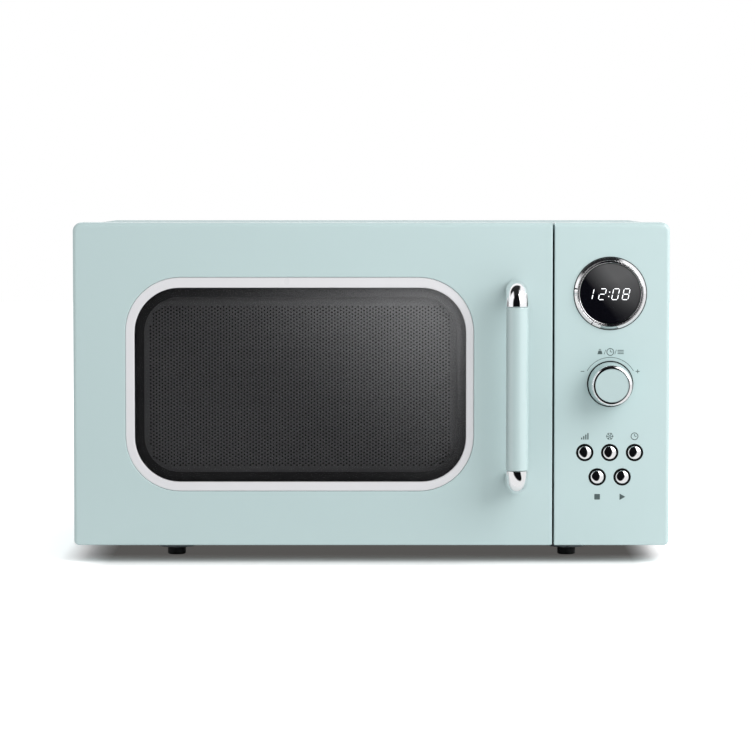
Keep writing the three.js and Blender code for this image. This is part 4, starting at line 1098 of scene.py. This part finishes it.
def rear_panel():
    """A zinc-plated sheet with a pressed bulge that clears the oven's back wall, and vents."""
    x, y, z = spans("rear_panel")
    flat = y[0] + 1.2

    def edge_ring(by, depth):
        radii = [max(r - by, 0.4) for r in (1.5, 1.5, 5.5, 5.5)]
        return at_depth(outline(grow(x, -by), grow(z, -by), radii, 8), depth)

    def bulge_ring(by, depth):
        corner = max(16 - by * 0.5, 1)
        return at_depth(outline(grow(BULGE_X, -by), grow(BULGE_Z, -by), corner, 8), depth)

    slope = [
        (BULGE_SLOPE * share, (y[1] - flat) * (3 * share ** 2 - 2 * share ** 3))
        for share in (0, 0.12, 0.25, 0.38, 0.5, 0.62, 0.75, 0.88, 1)
    ]
    outside = [bulge_ring(by, flat + rise) for by, rise in reversed(slope)]
    inside = [bulge_ring(by + SHEET, flat - SHEET + rise) for by, rise in slope]
    rim = [edge_ring(0.3, flat), edge_ring(0, flat - 0.3), edge_ring(0, y[0])]
    panel = loft(outside + rim + inside)
    cut_y = (y[0] - 3, flat + 2)
    fan_x, fan_z = centre_of("fan_motor")[0], 195
    vents = [
        block("y", (u, u + 26), (v, v + 3), cut_y, 1.45, 5)
        for u in (fan_x - 29, fan_x + 3) for v in series(fan_z - 34.5, 11, 7)
    ]
    vents += [block("y", (u, u + 3), (210, 222), cut_y, 1.45, 5) for u in series(-228, 7, 3)]
    vents.append(prism("y", circle(centre_of("cord_gland")[::2], 8), cut_y))
    piece(carve(panel, merge(*vents)), "rear_cover", "rear_panel")


def screw(radius=4.2, height=2.2):
    """A pan-head screw with a cross recess, made pointing up +Z at the origin."""
    profile = rounded([
        (0, height), (radius * 0.55, height - 0.15, 3), (radius, height * 0.35, 0.6),
        (radius, 0), (0, 0),
    ], False)
    arms = [
        block("z", (-w, w), (-d, d), (height * 0.35, height + 1), 0.15, 2)
        for w, d in ((2.1, 0.5), (0.5, 2.1))
    ]
    return carve(lathe("z", profile, (0, 0), 28), *arms)


def screws(name, node, direction, places):
    """A group of screws whose heads face a direction."""
    pattern = screw()
    turn = Vector((0, 0, 1)).rotation_difference(Vector(direction)).to_matrix().to_4x4()
    heads = []
    for i, point in enumerate(places):
        head = new_object(pattern.data.copy())
        spin = Matrix.Rotation(0.4 + 1.3 * i, 4, "Z")
        head.data.transform(Matrix.Translation(Vector(point) * MM) @ turn @ spin)
        heads.append(head)
    remove([pattern])
    piece(merge(*heads), name, node, "zinc_steel", "zinc_steel")


def all_screws():
    _, y, z = spans("rear_panel")
    back = y[0] + 1.2
    rim = [(u, back, level) for level in (z[1] - 7, z[0] + 7) for u in (-225, -75, 75, 225)]
    rim += [(u, back, 150) for u in (-232, 232)]
    screws("rear_screws", "rear_panel", (0, 1, 0), rim)
    wrap_x = spans("cabinet_wrap")[0]
    for name, across, side in (("left", wrap_x[0], -1), ("right", wrap_x[1], 1)):
        places = [(across, depth, 26) for depth in (-100, 175)]
        screws(f"{name}_screws", "cabinet_wrap", (side, 0, 0), places)


def cord_gland():
    y = spans("cord_gland")[1]
    profile = rounded([
        (3.8, y[0]), (7.6, y[0], 0.5), (7.6, y[1] - 4.5), (11, y[1] - 4.5, 0.4), (11, y[1] - 3, 0.6),
        (8.5, y[1], 1), (3.8, y[1], 0.8),
    ])
    turned(profile, centre_of("cord_gland")[::2], "lead_gland", "cord_gland", segments=48)


def feet():
    profile = rounded([
        (0, 0.8), (3, 0.8), (3.6, 0, 0.2), (6.6, 0, 0.5), (7.5, 1, 0.5), (7.4, 6.5, 0.4), (2.2, 6.5),
        (2.2, 8.4), (3.3, 8.4), (1.6, 12), (0, 12),
    ], False)
    for i in range(1, 5):
        foot = lathe("z", profile, centre_of(f"foot_{i}"), 40)
        piece(foot, f"rubber_foot_{i}", f"foot_{i}")


# -------- turntable

THIRDS = [2 * pi * k / 3 for k in range(3)]


def turntable():
    """The glass dish, with three lugs under it that the drive turns."""
    x = spans("turntable_plate")[0]
    centre = centre_of("turntable_plate")
    base = 57.6
    radius = (x[1] - x[0]) / 2
    profile = rounded([
        (0, 0.2), (12, 0.2, 1), (13, 0, 1), (126, 0, 12), (142, 4, 12), (radius, 13.4, 1),
        (radius - 1.4, 14.4, 0.6), (148.5, 13, 4), (138, 6, 10), (124, 4, 8), (84, 4, 1),
        (82, 4.5, 1), (80, 4, 1), (44, 4, 1), (42, 4.5, 1), (40, 4, 1), (0, 4),
    ], False, 4)
    dish = lathe("z", profile, centre, 128, base)
    lug_profile = rounded([(0, -4), (3.4, -4, 1), (3.4, 0.3), (0, 0.3)], False)
    lugs = [
        lathe("z", lug_profile, polar(centre, 15.7, pi / 3 + turn), 24, base)
        for turn in THIRDS
    ]
    piece(merge(dish, *lugs), "glass_plate", "turntable_plate")


def roller_ring():
    """The ring under the dish, with three axles and the wheels on them."""
    x, y, _ = centre_of("turntable_plate")
    centre = (x, y, centre_of("roller_ring")[2])
    band_profile = [(86, -3.3, 0.8), (92, -3.3, 0.8), (92, 3.3, 0.8), (86, 3.3, 0.8)]
    frame_band = lathe("z", rounded(band_profile), centre, 120, centre[2])
    axle_profile = rounded([
        (0, 91), (2, 91), (2, 101.9), (3.2, 101.9, 0.3), (3.2, 103.6, 0.5), (0, 103.6),
    ], False)
    wheel_profile = rounded([
        (2.3, -3.5), (4.2, -3.5, 0.3), (4.6, -2.7, 0.3), (6, -2.7, 0.3), (7, -3.3, 0.4),
        (7, 3.3, 0.6), (6, 2.7, 0.3), (4.6, 2.7, 0.3), (4.2, 3.5, 0.3), (2.3, 3.5),
    ])
    axles = []
    for k, third in enumerate(THIRDS):
        to_place = Matrix.Translation(Vector(centre) * MM) @ Matrix.Rotation(QUARTER + third, 4, "Z")
        axles.append(lathe("x", axle_profile, (0, 0), 24))
        axles[-1].data.transform(to_place)
        wheel = lathe("x", wheel_profile, (0, 0), 40, 97.8)
        wheel.data.transform(to_place)
        piece(wheel, f"roller_wheel_{k + 1}", f"roller_{k + 1}")
    piece(merge(frame_band, *axles), "roller_frame", "roller_ring")


# -------- pieces kept from the CAD model

def smooth_by_angle():
    """A node group that shades faces smooth and keeps edges above an angle sharp."""
    tree = bpy.data.node_groups.new("smooth_by_angle", "GeometryNodeTree")
    for in_out in ("INPUT", "OUTPUT"):
        tree.interface.new_socket("Geometry", in_out=in_out, socket_type="NodeSocketGeometry")
    shape = add_node(tree, "GroupInput", prefix="Node").outputs[0]
    angle = add_node(tree, "InputMeshEdgeAngle", prefix="GeometryNode").outputs[0]
    below = {"operation": "LESS_THAN"}
    limit = add_node(tree, "Compare", below, "FunctionNode", _0=angle, _1=radians(30)).outputs[0]
    for domain, inputs in (("FACE", {}), ("EDGE", {"Shade_Smooth": limit})):
        shade = add_node(tree, "SetShadeSmooth", {"domain": domain}, "GeometryNode", _0=shape, **inputs)
        shape = shade.outputs[0]
    add_node(tree, "GroupOutput", prefix="Node", _0=shape)
    return tree


def refine_kept_nodes():
    """Softened edges, clean shading and the slot's finish on every CAD node that still shows."""
    smoothing = smooth_by_angle()
    for name, obj in NODES.items():
        if obj.hide_render:
            continue
        obj.data.materials.clear()
        obj.data.materials.append(LOOKS[SLOT_OF[name]])
        modify(obj, "weld", "WELD", merge_threshold=1e-5)
        modify(obj, "soft_edges", "BEVEL", width=0.25 * MM, segments=2, limit_method="ANGLE",
               angle_limit=SHARP)
        modify(obj, "shading", "NODES", node_group=smoothing)
        modify(obj, "weighted_normals", "WEIGHTED_NORMAL", keep_sharp=True)


# -------- studio

CARD_COLOUR = (0.005, 0.005, 0.006)
# the reach of the floor's painted contact shadow: (half, soft) across and along, in metres
UNDER_OVEN = ((0.236, 0.022), (0.172, 0.07))
UNDER_REFLECTION = ((0.245, 0.01), (0.2, 0.01))
MIRROR_CENTRE = (0.19, -0.19, 0.07)
CAMERA_PLACE = (0.005, -2.894, 0.307)
CAMERA_TILT = 3.27
CAMERA_LENS = 160.36


def band(tree, value, centre, half, soft):
    """1 where a value lies within half of the centre, and 0 outside, with soft edges."""
    away = maths(tree, "ABSOLUTE", maths(tree, "ADD", value, -centre))
    return ranged(tree, away, 1, 0, half - soft, half + soft)


def patch(tree, side, side_band, lift, lift_band, strength):
    """A patch of the dark card, from (centre, half, soft) for its two directions."""
    inside = maths(tree, "MULTIPLY", band(tree, side, *side_band), band(tree, lift, *lift_band))
    return maths(tree, "MULTIPLY", inside, strength)


def dark_card(tree, vector):
    """1 in the dark gap between the softboxes: an egg in front, a neck and an arc overhead."""
    unit = maths(tree, "NORMALIZE", vector, kind="VectorMath")
    side, depth, height = add_node(tree, "SeparateXYZ", Vector=unit).outputs
    lift = maths(tree, "ARCTAN2", height, maths(tree, "MULTIPLY", depth, -1.0))
    across = maths(tree, "DIVIDE", maths(tree, "ADD", side, 0.16), 0.6)
    up = ranged(tree, lift, 0, 2, 0, radians(104))
    down = ranged(tree, lift, 2, 0, radians(-103), 0)
    along = maths(tree, "ADD", up, down)
    squares = [maths(tree, "POWER", value, 2) for value in (across, along)]
    egg = ranged(tree, maths(tree, "ADD", *squares), 1, 0, 0.8, 1.12)
    neck = patch(tree, side, (-0.15, 0.4, 0.06), lift, (1.1, 0.5, 0.06), 0.985)
    arc = patch(tree, side, (-0.24, 0.62, 0.08), lift, (1.6, 0.27, 0.05), 0.98)
    return maths(tree, "MAXIMUM", maths(tree, "MAXIMUM", egg, neck), arc)


def make_world():
    """White for the camera, a soft dome for diffuse light, and softboxes for reflections."""
    world = bpy.data.worlds.new("studio")
    bpy.context.scene.world = world
    tree = empty_tree(world)
    rays = add_node(tree, "LightPath").outputs
    direction = add_node(tree, "TexCoord").outputs["Generated"]
    to_right = add_node(tree, "SeparateXYZ", Vector=direction).outputs[0]
    right_side = ranged(tree, to_right, 0, 1, -0.8, 0.8)
    dome = mixed(tree, right_side, (0.52, 0.525, 0.53), (0.79, 0.79, 0.79))
    reflected = mixed(tree, dark_card(tree, direction), (1.1, 1.1, 1.11), CARD_COLOUR)
    colour = mixed(tree, rays["Is Glossy Ray"], dome, reflected)
    colour = mixed(tree, rays["Is Camera Ray"], colour, (1.0, 1.0, 1.0))
    background = add_node(tree, "Background", Color=colour, Strength=1.0)
    add_node(tree, "OutputWorld", _0=background.outputs[0])


def beneath(tree, position, across, along):
    """1 on the floor under the oven, 0 beyond it, with soft edges."""
    x, y, _ = add_node(tree, "SeparateXYZ", Vector=position).outputs
    return maths(tree, "MULTIPLY", band(tree, x, 0, *across), band(tree, y, 0, *along))


def emission(tree, colour, strength=1.0):
    return add_node(tree, "Emission", Color=colour, Strength=strength).outputs[0]


def either(tree, share, first, second):
    """The first shader at share 0, and the second at share 1."""
    return add_node(tree, "MixShader", _0=share, _1=first, _2=second).outputs[0]


def make_floor():
    """A pale floor: it looks white to the camera, with a painted contact shadow under the oven, and reflections
    see it as part of the studio.
    """
    floor = prism("z", circle((0, 0), 6000, 96), (-40, -0.2))
    floor.name = "floor"
    material = bpy.data.materials.new("pale_floor")
    tree = empty_tree(material)
    rays = add_node(tree, "LightPath").outputs
    position = add_node(tree, "NewGeometry").outputs["Position"]
    diffuse = add_node(tree, "BsdfDiffuse", Color=(0.93, 0.93, 0.93, 1)).outputs[0]
    lit = added(tree, added(tree, diffuse, diffuse), emission(tree, (1, 1, 1, 1), 0.13))
    # painted contact shadow: a dark emission under the oven that only the camera sees
    shade = emission(tree, (0.093, 0.09, 0.086, 1))
    seen = either(tree, beneath(tree, position, *UNDER_OVEN), lit, shade)
    plain = either(tree, rays["Is Camera Ray"], diffuse, seen)
    from_oven = maths(tree, "SUBTRACT", position, MIRROR_CENTRE, kind="VectorMath")
    studio = mixed(tree, dark_card(tree, from_oven), (0.92, 0.92, 0.92), CARD_COLOUR)
    clear = ranged(tree, beneath(tree, position, *UNDER_REFLECTION), 1, 0, 0, 1)
    mirrored = maths(tree, "MULTIPLY", rays["Is Glossy Ray"], clear)
    whole = either(tree, mirrored, plain, emission(tree, studio))
    add_node(tree, "OutputMaterial", _0=whole)
    floor.data.materials.append(material)


def softbox(name, location, target, size, watts):
    light = bpy.data.lights.new(name, "AREA")
    light.shape = "RECTANGLE"
    light.size, light.size_y = size
    light.energy = watts
    obj = new_object(light, name)
    obj.location = location
    direction = Vector(target) - Vector(location)
    obj.rotation_euler = direction.to_track_quat("-Z", "Y").to_euler()


def make_camera():
    camera = new_object(bpy.data.cameras.new("camera"), "camera")
    camera.data.lens = CAMERA_LENS
    camera.data.sensor_width = 36
    camera.location = CAMERA_PLACE
    camera.rotation_euler = (radians(90 - CAMERA_TILT), 0, 0)
    bpy.context.scene.camera = camera


# -------- the whole scene

make_camera()
make_world()
make_floor()
softbox("key", (1.1, -0.95, 0.95), (0.05, -0.1, 0.13), (1.3, 1.3), 17)

for make in (
    door_shell, window_trim, door_glass, window_print, door_screen, choke_cover, handle_bar,
):
    make()
handle_elbow("handle_elbow_top", "upper_elbow")
handle_elbow("handle_elbow_bottom", "lower_elbow")
for make in (control_panel, display_bezel, display_lens, display_digits, knob):
    make()
for node, centre in zip(BUTTONS, BUTTON_PLACES):
    button(node, centre)
for make in (
    button_guides, printed_signs, cabinet_wrap, rear_panel, all_screws, cord_gland, feet, turntable,
    roller_ring, refine_kept_nodes,
):
    make()

bpy.context.scene.view_settings.view_transform = "Standard"
